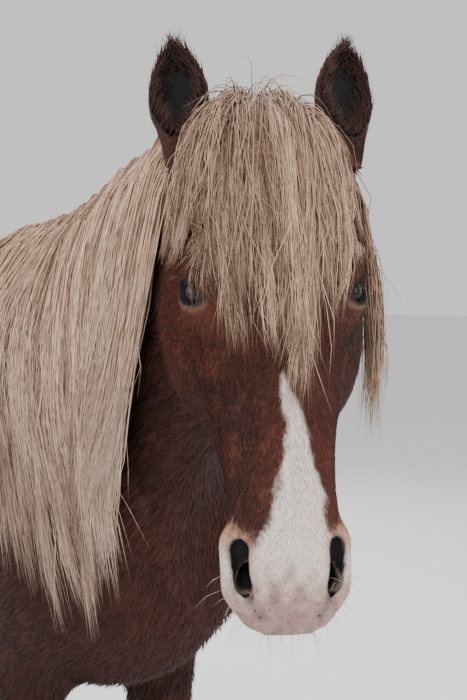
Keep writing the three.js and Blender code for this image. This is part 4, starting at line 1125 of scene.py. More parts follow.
def coat_colour(graph, sizes, tint):
    """The colour of skin and coat alike: chestnut, a white stripe, a pink muzzle, darker legs and painted
    shade.
    """
    place = graph.object_place()
    broad = graph.noise(place, scale=5.0, detail=2.0)
    patches = graph.noise(place, scale=28.0, detail=3.0)
    base = graph.mix(graph.ranged(broad, 0.35, 0.65), sizes.coat_dark, sizes.coat_red)
    base = graph.mix(graph.ranged(patches, 0.5, 0.75) * 0.45, base, sizes.coat_light)
    # Darker chestnut on the lower legs, and painted shade over the neck and chest, from the withers forward
    base = graph.mix(graph.attribute("leg") * 0.75, base, sizes.coat_dark)
    base = graph.tinted(base, tint)
    specks = graph.ranged(graph.noise(place, scale=420.0, detail=2.0), 0.62, 0.7)
    blotches = graph.ranged(graph.noise(place, scale=60.0, detail=3.0), 0.4, 0.62)
    skin = graph.mix(blotches * 0.4 + graph.attribute("lips") * 0.6, sizes.muzzle_pale, sizes.muzzle_pink)
    white = graph.mix(graph.attribute("white"), base, sizes.stripe_white)
    tan_edge = graph.mix(graph.attribute("tan") * 0.85, white, sizes.muzzle_tan)
    pink = graph.mix(graph.attribute("pink") * 0.95, tan_edge, skin)
    pink = graph.mix(graph.attribute("lips") * specks * 0.8, pink, sizes.muzzle_speck)
    rimmed = graph.mix(graph.attribute("rim") * (0.55 + blotches * 0.4), pink, sizes.nostril_grey)
    # Painted shade: near black round the opening of the lids
    shaded = graph.mix(graph.attribute("orbit") * 0.92, rimmed, sizes.painted_hollow_shade)
    lidded = graph.mix(graph.attribute("lid") * 0.8, shaded, sizes.lid_colour)
    # Painted shade: near black inside the nostrils and the cups of the ears
    return graph.mix(graph.attribute("dark"), lidded, sizes.painted_hollow_shade)


def skin_material(sizes):
    """The skin below the coat: fine hairs along the body and down the face, and pores where it is bare."""
    graph = Graph("winter_skin")
    place = graph.object_place()
    along_body = graph.stretched(place, (math.radians(-30), 0, 0), (1.0, 0.16, 1.0))
    along_face = graph.stretched(place, (math.radians(-18), math.radians(-12), 0), (1.0, 1.0, 0.14))
    body_hairs = graph.noise(along_body, scale=520.0, detail=2.0)
    face_hairs = graph.noise(along_face, scale=640.0, detail=2.0)
    head = graph.attribute("head")
    hairs = body_hairs * (1 - head) + face_hairs * head
    clumps = graph.noise(place, scale=70.0, detail=2.0)
    bare = graph.attribute("pink")
    height = (hairs * 0.6 + clumps * 0.5) * (1 - bare * 0.8)
    pores = graph.noise(place, scale=900.0, detail=1.0)
    height = height + pores * bare * 0.12
    tint = graph.ranged(hairs, 0.3, 0.7, 0.62, 1.22)
    colour = coat_colour(graph, sizes, tint)
    rough = graph.ranged(bare, 0.0, 1.0, 0.78, 0.5)
    return graph.finish(colour, rough, height, bump_depth=0.0022, **{SPECULAR: 0.25})


def fur_material(sizes):
    """The tufts of the short coat: lighter towards their tips, each with a shade of its own."""
    graph = Graph("winter_coat")
    tint = graph.ranged(graph.attribute("tint"), 0.0, 1.0, 0.78, 1.25)
    tint = tint * graph.ranged(graph.attribute("along"), 0.0, 1.0, 0.85, 1.15)
    return graph.finish(coat_colour(graph, sizes, tint), rough=0.6, **{SPECULAR: 0.3})


def hair_material(name, root, middle, tip, dark_share):
    """Long hair: darker at its root, each strand with its own shade and some strands dark."""
    graph = Graph(name)
    along, tint, lock = (graph.attribute(key) for key in ("along", "tint", "lock"))
    colour = graph.mix(graph.ranged(along, 0.0, 0.25), root, middle)
    colour = graph.mix(graph.ranged(along + lock * 0.4, 0.4, 1.2), colour, tip)
    colour = graph.mix(graph.ranged(tint, 0.55, 1.0) * 0.6, colour, tip)
    colour = graph.mix(graph.ranged(tint, dark_share, dark_share * 0.4) * 0.75, colour, root)
    streaks = graph.noise(graph.object_place(), scale=90.0, detail=2.0)
    shade = graph.ranged(streaks, 0.3, 0.7, 0.82, 1.12) * graph.ranged(lock, 0.0, 1.0, 0.78, 1.1)
    return graph.finish(graph.tinted(colour, shade), rough=0.42, **{SPECULAR: 0.4})


GROWTH_RINGS = 42.0


def horn_material(sizes):
    """Hoof horn with upright fibres, growth rings and a worn lower edge."""
    graph = Graph("hoof_horn")
    place = graph.object_place()
    upright = graph.stretched(place, (0, 0, 0), (1.0, 1.0, 0.06))
    fibres = graph.noise(upright, scale=420.0, detail=2.0)
    waves = {"Vector": place, "Scale": GROWTH_RINGS, "Distortion": 1.5}
    growth = graph.node("TexWave", {"bands_direction": "Z"}, waves, 1)
    colour = graph.mix(graph.ranged(fibres, 0.3, 0.7), sizes.horn_dark, sizes.horn_pale)
    low = graph.node("SeparateXYZ", inputs={0: place}, output=2)
    colour = graph.mix(graph.ranged(low, 0.022, 0.002) * 0.5, colour, sizes.horn_worn)
    rough = graph.ranged(growth, 0.0, 1.0, 0.42, 0.6)
    return graph.finish(colour, rough, fibres * 0.4 + growth * 0.6, bump_depth=0.0009)


def eye_material(sizes):
    """A wet eye: its rim, the fibres of its iris and its pupil."""
    graph = Graph("eye_wet")
    iris = graph.mix(graph.attribute("fibre"), sizes.iris_dark, sizes.iris_brown)
    colour = graph.mix(graph.attribute("iris"), sizes.eye_white, iris)
    colour = graph.mix(graph.attribute("pupil"), colour, sizes.pupil_colour)
    return graph.finish(colour, rough=0.16, **{"IOR": 1.33, SPECULAR: 0.4})


def colour_setting(name, description, value):
    """A colour in the panel."""
    kind = {"subtype": "COLOR", "min": 0, "max": 1}
    return FloatVectorProperty(name=name, description=description, default=value, **kind)


def length_setting(name, description, value):
    """A length in the panel, in metres."""
    return FloatProperty(name=name, description=description, default=value, unit="LENGTH")


def count_setting(name, description, value):
    """A count in the panel."""
    return IntProperty(name=name, description=description, default=value)


class HorseCoatSettings(bpy.types.PropertyGroup):
    """Sizes and colours of the skin and the short coat."""

    head_cell: length_setting("Head cell", "Size of the skin's faces on the head", 0.0036)
    body_cell: length_setting("Body cell", "Size of the skin's faces on the body", 0.0105)
    body_tufts: count_setting("Body tufts", "Tufts on neck, trunk and thighs", 94000)
    leg_tufts: count_setting("Leg tufts", "Tufts on the lower legs", 13000)
    head_tufts: count_setting("Head tufts", "Tufts on the head and the ears", 49000)
    ear_hairs: count_setting("Ear hairs", "Hairs over the cups of the ears", 2600)
    coat_red: colour_setting("Chestnut", "Main colour of the coat", (0.086, 0.022, 0.012))
    coat_dark: colour_setting("Dark chestnut", "Darker parts of the coat", (0.036, 0.011, 0.008))
    coat_light: colour_setting("Light chestnut", "Lit tips of the coat", (0.175, 0.052, 0.026))
    stripe_white: colour_setting("Stripe", "White of the stripe", (0.64, 0.55, 0.49))
    muzzle_pale: colour_setting("Pale muzzle", "Pale skin of the muzzle", (0.41, 0.262, 0.215))
    muzzle_tan: colour_setting("Tan edge", "Edge between chestnut and muzzle", (0.42, 0.235, 0.15))
    muzzle_pink: colour_setting("Pink muzzle", "Pink skin of the lips", (0.205, 0.105, 0.10))
    muzzle_speck: colour_setting("Specks", "Dark specks of the muzzle", (0.05, 0.03, 0.03))
    nostril_grey: colour_setting("Nostril rims", "Grey skin round the nostrils", (0.09, 0.09, 0.10))
    lid_colour: colour_setting("Lid rims", "Pale rims below the lids", (0.13, 0.065, 0.042))
    # Near black painted as shade in the nostrils, the ears' cups and round the lids' opening
    painted_hollow_shade: colour_setting("Hollows", "Inside the nostrils and ears", (0.006, 0.005, 0.006))


class HorseHairSettings(bpy.types.PropertyGroup):
    """Sizes and colours of the forelock, the mane, the tail and the feathers."""

    strand_width: length_setting("Strand width", "Width of a strand at its root", 0.0019)
    forelock_locks: count_setting("Forelock locks", "Locks of the forelock", 64)
    mane_locks: count_setting("Mane locks", "Locks on the right of the neck", 130)
    mane_left_locks: count_setting("Left mane locks", "Locks on the left of the neck", 44)
    tail_locks: count_setting("Tail locks", "Locks of the tail", 66)
    mane_root: colour_setting("Mane root", "Hair by the crest", (0.20, 0.10, 0.06))
    mane_middle: colour_setting("Mane", "Flaxen hair", (0.45, 0.275, 0.175))
    mane_tip: colour_setting("Mane tips", "Palest hair", (0.72, 0.53, 0.40))
    forelock_root: colour_setting("Forelock root", "Dark hair by the ears", (0.070, 0.028, 0.016))
    forelock_middle: colour_setting("Forelock", "Tan hair over the face", (0.225, 0.120, 0.070))
    forelock_tip: colour_setting("Forelock streaks", "Pale strands", (0.54, 0.365, 0.245))
    lash_colour: colour_setting("Lashes", "Lashes and whiskers", (0.10, 0.05, 0.035))


class HorseHornSettings(bpy.types.PropertyGroup):
    """Colours of the hooves and the eyes."""

    horn_dark: colour_setting("Dark horn", "Dark fibres of the horn", (0.028, 0.022, 0.018))
    horn_pale: colour_setting("Pale horn", "Pale fibres of the horn", (0.075, 0.058, 0.045))
    horn_worn: colour_setting("Worn horn", "Worn edge by the floor", (0.15, 0.125, 0.10))
    iris_dark: colour_setting("Dark iris", "Dark fibres of the iris", (0.006, 0.009, 0.011))
    iris_brown: colour_setting("Brown iris", "Brown fibres of the iris", (0.022, 0.014, 0.012))
    eye_white: colour_setting("Eye rim", "The eye outside its iris", (0.018, 0.014, 0.013))
    pupil_colour: colour_setting("Pupil", "The pupil", (0.003, 0.005, 0.008))


class HorseStageSettings(bpy.types.PropertyGroup):
    """Sizes and colours of the floor and the light."""

    floor_size: length_setting("Floor", "Width of the floor", 60.0)
    floor_colour: colour_setting("Floor colour", "Pale floor", (0.78, 0.78, 0.79))
    sky_colour: colour_setting("Room colour", "Pale room", (0.93, 0.92, 0.94))
    sky_strength: FloatProperty(name="Room light", description="Strength of the room's light", default=0.95)
    key_power: FloatProperty(name="Key light", description="Power of the large soft light", default=210.0)


# Places on the skin
def skin_axes(coarse, fine):
    """Grid lines that are close together across the head and wider apart elsewhere."""
    axes = []
    ends = ((-460, 310), (-1230, 925), (28, 1640))
    for (low, high), fine_low, fine_high in zip(ends, HEAD_LOW, HEAD_HIGH):
        parts = [np.arange(fine_low, fine_high + fine, fine)]
        if low < fine_low:
            parts.insert(0, np.arange(fine_low - coarse, low - coarse, -coarse)[::-1])
        if high > fine_high:
            parts.append(np.arange(parts[-1][-1] + coarse, high + coarse, coarse))
        axes.append(np.concatenate(parts).astype(float))
    return axes


def hoof_places():
    """For each hoof: its name, its middle across, and the front and back of its coronet."""
    for name, side in SIDES.items():
        for end, line, x, front, back in (("fore", FORELEG_LINE, 112, -108, -12), ("hind", 0, 124, 609, 710)):
            at = line + STANCE[end + "_" + name] * (1 - 60 / STANCE_TOP)
            yield end + "_" + name, side * x, at + front, at + back


# How far the skin goes down inside the top of a hoof
COVERED = 7.0


def below_coronets(p):
    """How far places are below a level a little inside the top of each hoof."""
    x, y, z = p.T
    below = np.full(len(p), -OUT_OF_REACH, np.float32)
    for _, middle, front, back in hoof_places():
        share = np.clip((y - front) / (back - front), -0.5, 1.5)
        top = HOOF_TOE_HEIGHT + share * (HOOF_HEEL_HEIGHT - HOOF_TOE_HEIGHT)
        beside = (np.abs(x - middle) < 80) & (y > front - 90) & (y < back + 90)
        below = np.where(beside, np.maximum(below, top - COVERED - z), below)
    return below


def skin_field(p):
    """The field of the flesh, cut off inside the top of each hoof."""
    return np.maximum(horse(p), below_coronets(p))


def settled(points, depth):
    """Points moved to the level that lies a depth below the field's own surface."""
    for _ in range(2):
        way, value = slope(points.astype(np.float32))
        size = np.maximum((way * way).sum(1), 0.2)
        step = np.clip(-(value + depth) / size, -9, 9)
        points = points + way * step[:, None]
    return points


# The skin's points and faces, from which the coat grows
SKIN = {}


def grow_skin(sizes):
    """The skin's points and faces, kept for the coat that grows from them."""
    axes = skin_axes(sizes.body_cell * 1000, sizes.head_cell * 1000)
    points, quads = surface(skin_field, axes)
    cut = below_coronets(points.astype(np.float32)) > -1.5
    moved = settled(points, coat_depth(points))
    points = np.where(cut[:, None], points, moved)
    SKIN["points"], SKIN["quads"] = points, quads
    return points, quads


def scatter(count, weight, rng):
    """Random places on the skin, and its normals there, by area times a weight at the points."""
    points, quads = SKIN["points"], SKIN["quads"]
    triangles = np.vstack([quads[:, [0, 1, 2]], quads[:, [0, 2, 3]]])
    a, b, c = (points[triangles[:, k]] for k in range(3))
    normal = np.cross(b - a, c - a)
    area = np.linalg.norm(normal, axis=1) / 2
    share = area * weight[triangles].mean(1)
    total = np.cumsum(share)
    at = (np.arange(count) + rng.random(count)) / count * total[-1]
    pick = np.minimum(np.searchsorted(total, at), len(triangles) - 1)
    u, v = rng.random((2, count, 1))
    over = u + v > 1
    u, v = np.where(over, 1 - u, u), np.where(over, 1 - v, v)
    place = a[pick] + (b - a)[pick] * u + (c - a)[pick] * v
    return place, unit(normal[pick])


TUFT_LIFT = 0.24


def tuft_lines(place, normal, length, rng):
    """Short straight tufts that leave the skin at a low angle."""
    way = lie(place, normal)
    side = np.cross(normal, way)
    way = unit(way + side * rng.normal(0, 0.16, (len(place), 1)))
    rise = TUFT_LIFT * rng.uniform(0.7, 1.3, (len(place), 1))
    root = place - normal * 0.03 * length[:, None]
    tip = place + (way + normal * rise) * length[:, None]
    return np.stack([root, tip], 1)


class HORSE_OT_skin(bpy.types.Operator):
    """Build the seamless skin over the whole flesh."""

    bl_idname = "horse.skin"
    bl_label = "Skin"

    def execute(self, context):
        sizes = context.scene.horse_coat
        points, quads = grow_skin(sizes)
        values = marks_and_painted_shade(points)
        values["head"] = on_head(points)
        obj = make_object("skin", points, quads, values)
        flesh = [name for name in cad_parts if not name.startswith(("eye_", "hoof_"))]
        dress(obj, skin_material(sizes), "coat", *flesh)
        return {"FINISHED"}


class HORSE_OT_coat(bpy.types.Operator):
    """Grow the short winter coat in tufts over body, legs, head and ears."""

    bl_idname = "horse.coat"
    bl_label = "Short coat"

    def execute(self, context):
        sizes = context.scene.horse_coat
        material = fur_material(sizes)
        points = SKIN["points"]
        z = points[:, 2]
        head_share = on_head(points)
        marks = marks_and_painted_shade(points)
        bare = (1 - marks["dark"]) * (1 - marks["lid"]) * (1 - marks["orbit"])
        bare = bare * (1 - 0.9 * smooth(500, 530, to_head(points)[:, 2]) * head_share)
        small = 1 / np.maximum(coat_length(points), 3)
        legs = smooth(700, 640, z)
        rng = np.random.default_rng(11)
        # Each piece: its tufts, where they grow, its unwrap, a tuft's width against its length, its parts
        pieces = (
            ("coat_head", sizes.head_tufts, bare * head_share * (0.3 + 2 * small), unwrap_head, 0.085, 1),
            ("coat_body", sizes.body_tufts, bare * (1 - head_share) * (1 - legs), unwrap_trunk, 0.045, 2),
            ("coat_legs", sizes.leg_tufts, bare * (1 - head_share) * legs, unwrap_legs, 0.06, 1),
        )
        for name, count, weight, unwrap, thin, parts in pieces:
            place, normal = scatter(count, weight, rng)
            length = coat_length(place) * rng.uniform(0.75, 1.25, count)
            lines = tuft_lines(place, normal, length, rng)
            radius = np.clip(length * thin, 0.4, 1.1) * rng.uniform(0.8, 1.2, count)
            values = marks_and_painted_shade(place)
            values["tint"] = np.clip(0.5 + 0.25 * noise(place, 45, 8) + rng.normal(0, 0.2, count), 0, 1)
            patches = unwrap(place)
            hair_pieces(name, lines, radius, TUFT_TIP, normal, patches, values, "coat", material, parts)
        return {"FINISHED"}


def long_hair(name, lines, lock, rng, material, unwrap, width, parts=1):
    """Long hair from its strands' lines, in as many pieces as it takes."""
    lines = lifted(lines, STRAND_CLEAR)
    shade = rng.random(lock.max() + 1)
    values = {"tint": rng.random(len(lock)), "lock": shade[lock]}
    radius = width / 2 * rng.uniform(0.75, 1.2, len(lines))
    up = outward(lines[:, 3].astype(np.float32)).astype(float)
    hair_pieces(name, lines, radius, STRAND_TIP, up, unwrap, values, "long_hair", material, parts)


def flaxen(hair, name, dark_share):
    """The material of the mane, the tail and other pale hair."""
    return hair_material(name, hair.mane_root, hair.mane_middle, hair.mane_tip, dark_share)


# The forelock's layers: how far out of the face their roots lie, and how far their locks lie off the coat
FORELOCK_LAYERS = np.array([(-22, 6), (-38, 13), (-56, 21)])
FORELOCK_HALF_WIDTH = 34
FORELOCK_STRANDS = 58
CHEEK_LOCKS = 16
CHEEK_LOCK_LENGTH = 380
CHEEK_LOCK_STRANDS = 26
CROWN_HAIRS = 160
ABOVE_POLL = -200


def forelock_shape(u):
    """The length of the forelock from its right edge, -1, to its left edge, 1: longest past the middle."""
    return np.interp(u, (-1, -0.3, 0.35, 0.7, 1), (0.72, 0.93, 1.12, 0.9, 0.74))


def poll_roots(side, out):
    """Places on the top of the head, found from above it."""
    start = from_head(np.stack(np.broadcast_arrays(side, out, ABOVE_POLL), -1))
    return landing(start, from_head_way((0, 0, 1)))


def crown_hairs(n, rng):
    """Short loose hairs that stand up and curl over between the ears."""
    u = rng.uniform(-1, 1, n)
    root = poll_roots(40 * u, rng.uniform(-70, -20, n))
    aim = from_head_way(np.stack([0.5 * u, 0.5 + 0 * u, -1.4 + 0 * u], -1) + 0.45 * rng.normal(size=(n, 3)))
    length = rng.uniform(45, 95, n)
    drift = 0.5 * rng.normal(size=(n, 3))
    return hang(root, aim, length, rng.uniform(4, 12, n), CROWN_FALL, drift)


def cheek_locks(n, rng):
    """The lines of the loose locks that fall from behind the left ear beside the cheek."""
    root = poll_roots(44 + 26 * rng.random(n), -96)
    length = CHEEK_LOCK_LENGTH * rng.uniform(0.75, 1.1, n)
    aim = from_head_way((1, 0.15, -0.3))
    clear = 12 + 16 * rng.random(n)
    return hang(root, aim, length, clear, CHEEK_LOCK_FALL, 0.05 * rng.normal(size=(n, 3)))


class HORSE_OT_forelock(bpy.types.Operator):
    """Grow the forelock over the face and the loose hair behind the left ear."""

    bl_idname = "horse.forelock"
    bl_label = "Forelock"

    def execute(self, context):
        hair = context.scene.horse_hair
        rng = np.random.default_rng(21)
        n = hair.forelock_locks
        u = -1 + 2 * (np.arange(n) + rng.random(n)) / n
        rng.shuffle(u)
        out, clear = FORELOCK_LAYERS[np.arange(n) % len(FORELOCK_LAYERS)].T
        out = out + rng.uniform(-5, 5, n)
        clear = clear + rng.uniform(-2, 2, n)
        root = poll_roots(FORELOCK_HALF_WIDTH * u, out)
        sideways = np.where(u > 0, 0.5, 0.95) * u
        aim = from_head_way(np.stack([sideways, np.ones(n), 0.45 * np.abs(u) - 0.85], -1))
        length = FORELOCK_LENGTH * forelock_shape(u) * rng.uniform(0.8, 1.1, n)
        skew = np.where(u > 0, 0.12 - 0.84 * u, 0.12 - 0.2 * u)
        drift = HEAD_AXES[0] * skew[:, None] + 0.07 * rng.normal(size=(n, 3))
        lines = hang(root, aim, length, clear * np.where(u > 0.3, 0.6, 1), FORELOCK_FALL, drift)
        strands, lock = strands_of(
            lines, FORELOCK_STRANDS, rng.uniform(18, 34, n), depth=9, rng=rng, taper=0.45, wander=9
        )
        lines = cheek_locks(CHEEK_LOCKS, rng)
        cheek_strands, cheek_lock = strands_of(
            lines, CHEEK_LOCK_STRANDS, width=24, depth=8, rng=rng, taper=0.5, wander=12
        )
        crown = crown_hairs(CROWN_HAIRS, rng)
        every = np.vstack([strands, cheek_strands, crown])
        locks = np.concatenate([lock, cheek_lock + n, np.arange(CROWN_HAIRS) + n + CHEEK_LOCKS])
        shades = hair.forelock_root, hair.forelock_middle, hair.forelock_tip
        material = hair_material("flaxen_forelock", *shades, 0.42)
        width = hair.strand_width * 1000 * 0.9
        long_hair("forelock", every, locks, rng, material, unwrap_head(every[:, 0]), width)
        return {"FINISHED"}


def mane_shape(u):
    """The length of the mane from the poll, 0, to the withers, 1: longest in the middle of the neck."""
    return 0.88 + 0.26 * np.sin(math.pi * u)


# The mane: where it starts and ends along the crest, how its first locks are swept back, its locks' strands
MANE_FRONT = -742
MANE_BACK = -250
MANE_SWEEP = np.array((-0.15, 0.75, 0.0))
MANE_STRANDS = 52
MANE_LEFT_STRANDS = 44


def mane_lines(n, side, besides, clears, aim, length, rng):
    """The lines of the mane's locks on one side, from the poll to the withers."""
    u = (np.arange(n) + rng.random(n)) / n
    layer = np.arange(n) % len(besides)
    y = MANE_FRONT + (MANE_BACK - MANE_FRONT) * u
    x = crest_x(y) + side * (np.array(besides)[layer] + rng.uniform(-4, 4, n))
    root = landing(np.stack([x, y, np.full(n, POLL[2] + 200)], -1), DOWN)
    clear = np.array(clears)[layer] + rng.uniform(-2.5, 2.5, n)
    swept = smooth(0.55, 0.0, u)[:, None]
    drift = np.array((0.1, -0.3, 0)) + MANE_SWEEP * swept * (side < 0) + 0.06 * rng.normal(size=(n, 3))
    reach = length * mane_shape(u) * rng.uniform(0.8, 1.12, n)
    return hang(root, np.array((side * aim, 0, 0.25)), reach, clear, MANE_FALL, drift)


class HORSE_OT_mane(bpy.types.Operator):
    """Grow the mane on both sides of the neck."""

    bl_idname = "horse.mane"
    bl_label = "Mane"

    def execute(self, context):
        hair = context.scene.horse_hair
        rng = np.random.default_rng(31)
        material = flaxen(hair, "flaxen_mane", 0.26)
        width = hair.strand_width * 1000
        lines = mane_lines(hair.mane_locks, -1, (18, 8, -4), (7, 15, 24), 1, MANE_LENGTH, rng)
        strands, lock = strands_of(
            lines, MANE_STRANDS, rng.uniform(24, 40, len(lines)), depth=9, rng=rng, taper=0.4, wander=9
        )
        long_hair("mane_right", strands, lock, rng, material, unwrap_crest(strands[:, 0]), width, 2)
        lines = mane_lines(hair.mane_left_locks, 1, (10, 2), (8, 15), 0.8, MANE_LEFT_LENGTH, rng)
        strands, lock = strands_of(
            lines, MANE_LEFT_STRANDS, rng.uniform(22, 36, len(lines)), depth=7, rng=rng, taper=0.4, wander=9
        )
        long_hair("mane_left", strands, lock, rng, material, unwrap_crest(strands[:, 0]), width)
        return {"FINISHED"}


# The tail: its root's height, where it hangs along Y, how far its locks turn from one to the next round it,
# and how wide it is from its root, 0, to its tip, 1
TAIL_ROOT = 1258
TAIL_LINE = 884
TAIL_STRANDS = 58
LOCK_TURN = 0.618
TAIL_SHAPE = [[0, 8], [0.06, 52], [0.28, 98], [0.55, 122], [0.8, 110], [1, 62]]


class HORSE_OT_tail(bpy.types.Operator):
    """Grow the tail from the dock nearly to the fetlocks."""

    bl_idname = "horse.tail"
    bl_label = "Tail"

    def execute(self, context):
        hair = context.scene.horse_hair
        rng = np.random.default_rng(41)
        n = hair.tail_locks
        angle = 2 * math.pi * (np.arange(n) * LOCK_TURN + 0.1 * rng.random(n))
        spread = np.sqrt(rng.uniform(0.12, 1, n))
        root = TAIL_ROOT - 90 * rng.random(n)
        tip = (TAIL_TIP_HEIGHT + 60) * rng.uniform(0.85, 1.35, n)
        share = np.linspace(0, 1, KEPT_STEPS + 1)
        out = curve(TAIL_SHAPE, share)[:, 0] * spread[:, None]
        x = 1.05 * out * np.cos(angle)[:, None]
        y = TAIL_LINE - 54 * np.maximum(1 - 3 * share, 0) + 0.58 * out * np.sin(angle)[:, None]
        z = root[:, None] - (root - tip)[:, None] * share
        lines = np.stack([x, y, z], -1)
        outer = unit(np.stack([x, 2 * (y - TAIL_LINE + 20), 0 * x], -1) + 1e-3)
        strands, lock = strands_of(
            lines, TAIL_STRANDS, rng.uniform(24, 40, n), depth=14, rng=rng, taper=0.35, wander=9, outer=outer
        )
        patches = unwrap_tail(strands[:, 2])
        material = flaxen(hair, "flaxen_tail", 0.32)
        long_hair("tail_hair", strands, lock, rng, material, patches, hair.strand_width * 1000)
        return {"FINISHED"}


def unwrap_tail(p):
    """A cylinder round the dock."""
    return np.stack([turns_round(p[:, 0], p[:, 1] - TAIL_LINE + 20), (p[:, 2] - 900) / 450], -1)


# A feather's line from its root to its tip: how far behind the middle of the leg, and how high
FEATHER = [[12, 200], [36, 190], [46, 168], [50, 140], [44, 108]]
FEATHERS_PER_LEG = 420
FEATHER_LEVEL = 180
LOWEST_FEATHER = 62


class HORSE_OT_feathers(bpy.types.Operator):
    """Grow the feathers behind the fetlocks and the fringe over each hoof."""

    bl_idname = "horse.feathers"
    bl_label = "Feathers"

    def execute(self, context):
        coat = context.scene.horse_coat
        rng = np.random.default_rng(51)
        lines = []
        share = np.linspace(0, 1, len(FEATHER))
        for name, side in SIDES.items():
            for end, line, x, fetlock in (("fore", FORELEG_LINE, 112, 2), ("hind", 0, 124, 714)):
                at = line + fetlock + STANCE[end + "_" + name] * (1 - FEATHER_LEVEL / STANCE_TOP)
                turn = rng.uniform(-1.1, 1.1, FEATHERS_PER_LEG)
                drop = rng.uniform(-14, 22, FEATHERS_PER_LEG)
                reach = rng.uniform(0.75, 1.05, FEATHERS_PER_LEG)
                out, z = np.array(FEATHER, float).T
                out = out * reach[:, None]
                across = side * x + 0.72 * out * np.sin(turn)[:, None]
                back = at + out * np.cos(turn)[:, None]
                high = np.maximum(z - drop[:, None] * share, LOWEST_FEATHER)
                lines.append(np.stack(np.broadcast_arrays(across, back, high), -1))
        lines = np.vstack(lines)
        n = len(lines)
        lines = lines + 1.5 * rng.normal(size=(n, 1, 3)) * share[None, :, None]
        root = lines[:, 0]
        values = marks_and_painted_shade(root)
        values["tint"] = rng.random(n)
        up = np.tile((0.0, 1.0, 0.3), (n, 1))
        radius = np.full(n, 0.8)
        material = fur_material(coat)
        hair_pieces("feathers", lines, radius, FINE_TIP, up, unwrap_legs(root), values, "coat", material)
        return {"FINISHED"}


# The lashes of each eye, and the whiskers of the muzzle
LASHES = 46
WHISKERS = 90


def lash_lines(rng):
    """The lines of the lashes along both upper lids."""
    lines = []
    a, b, _ = EYE_OPENING
    for side in SIDES.values():
        turn = rng.uniform(-1.15, 1.15, LASHES)
        long, short = a * np.sin(turn), b * np.cos(turn) * UPPER_LID
        base = long[:, None] * EYE_LONG + short[:, None] * EYE_SHORT + EYE_OUT * (EYE_RADIUS + 1.5)
        way = EYE_OUT + 0.45 * UPPER_LID * EYE_SHORT + 0.35 * np.sin(turn)[:, None] * EYE_LONG
        way = unit(way + 0.12 * rng.normal(size=(LASHES, 3)))
        fall = np.array((0, 0, 0.35))
        reach = rng.uniform(13, 19, (LASHES, 1))
        steps = [base - way * 3, base + way * reach * 0.4, base + unit(way + fall) * reach * 0.75]
        steps.append(base + unit(way + 1.6 * fall) * reach)
        local = np.stack(steps, 1) / (1, 1, HEAD_STRETCH) + EYE
        lines.append(from_head(local * (side, 1, 1)))
    return np.vstack(lines)


def fine_lines(place, normal, way, reach, end):
    """Short hairs from a little inside the skin, along a way and then towards an end."""
    return np.stack([place - normal, place + way * reach * 0.5, place + way * reach + end], 1)


class HORSE_OT_lashes(bpy.types.Operator):
    """Grow the lashes and the whiskers."""

    bl_idname = "horse.lashes"
    bl_label = "Lashes and whiskers"

    def execute(self, context):
        hair = context.scene.horse_hair
        rng = np.random.default_rng(61)
        lines = lash_lines(rng)
        n = len(lines)
        values = {"tint": np.zeros(n), "lock": rng.random(n)}
        up = np.tile(HEAD_AXES[1], (n, 1))
        radius = np.full(n, 0.35)
        patches = unwrap_head(lines[:, 0])
        dark = hair_material("lash_hair", *[hair.lash_colour] * 3, 0.3)
        hair_pieces("lashes", lines, radius, FINE_TIP, up, patches, values, "long_hair", dark)
        q = to_head(SKIN["points"])
        weight = smooth(478, 505, q[:, 2]) * on_head(SKIN["points"]) * smooth(-40, -60, q[:, 1])
        n = WHISKERS
        place, normal = scatter(n, weight, rng)
        way = unit(normal + 0.5 * HEAD_AXES[2] + 0.3 * rng.normal(size=(n, 3)))
        reach = rng.uniform(14, 36, (n, 1))
        lines = fine_lines(place, normal, way, reach, DOWN * reach * 0.25)
        values = {"tint": np.full(n, 0.9), "lock": rng.random(n)}
        radius = np.full(n, 0.28)
        pale = flaxen(hair, "whisker_hair", 0.1)
        patches = unwrap_head(place)
        hair_pieces("whiskers", lines, radius, FINE_TIP, normal, patches, values, "long_hair", pale)
        return {"FINISHED"}


def ear_rim(p):
    """How near places are to the rim of an ear's cup, and the way from there into the cup and up."""
    weight = np.zeros(len(p))
    way = np.zeros((len(p), 3))
    for side, on in zip(SIDES.values(), on_ears(p)):
        axes, root = EARS[side]
        a, b, s = ((p - root) @ axes.T).T
        cup = ear_cup(s.astype(np.float32), a.astype(np.float32), b.astype(np.float32))
        rim = on * smooth(11, 6, cup) * smooth(-14, -4, b) * smooth(5, 30, s)
        inwards = np.stack([-np.sign(a) * 0.75, 0.35 + 0 * a, 0.75 + 0 * a], -1) @ axes
        weight = np.maximum(weight, rim)
        way = np.where(rim[:, None] > 0, inwards, way)
    return weight, way


class HORSE_OT_ear_hair(bpy.types.Operator):
    """Grow the soft hair that closes in over the cups of the ears."""

    bl_idname = "horse.ear_hair"
    bl_label = "Ear hair"

    def execute(self, context):
        coat = context.scene.horse_coat
        rng = np.random.default_rng(71)
        n = coat.ear_hairs
        place, normal = scatter(n, ear_rim(SKIN["points"])[0], rng)
        way = unit(ear_rim(place)[1] + 0.28 * rng.normal(size=(n, 3)))
        reach = rng.uniform(10, 24, (n, 1))
        lines = fine_lines(place, normal, way, reach, EARS[1][0][2] * reach * 0.25)
        values = marks_and_painted_shade(place)
        # The ear hairs take a third of the painted shade of the ears' cups
        values["dark"] = values["dark"] * 0.3
        values["tint"] = rng.random(n)
        radius = np.full(n, 0.6)
        material = fur_material(coat)
        hair_pieces("ear_hair", lines, radius, FINE_TIP, normal, unwrap_head(place), values, "coat", material)
        return {"FINISHED"}


# The eyeball: its rows and turns, how far it lies below the eye's full radius, and its cornea's bulge
EYE_ROWS = 40
EYE_TURNS = 64
EYE_INSET = 0.9
CORNEA_BULGE = 1.3
CORNEA_ANGLE = 0.62
PUPIL = (0.44, 0.24)


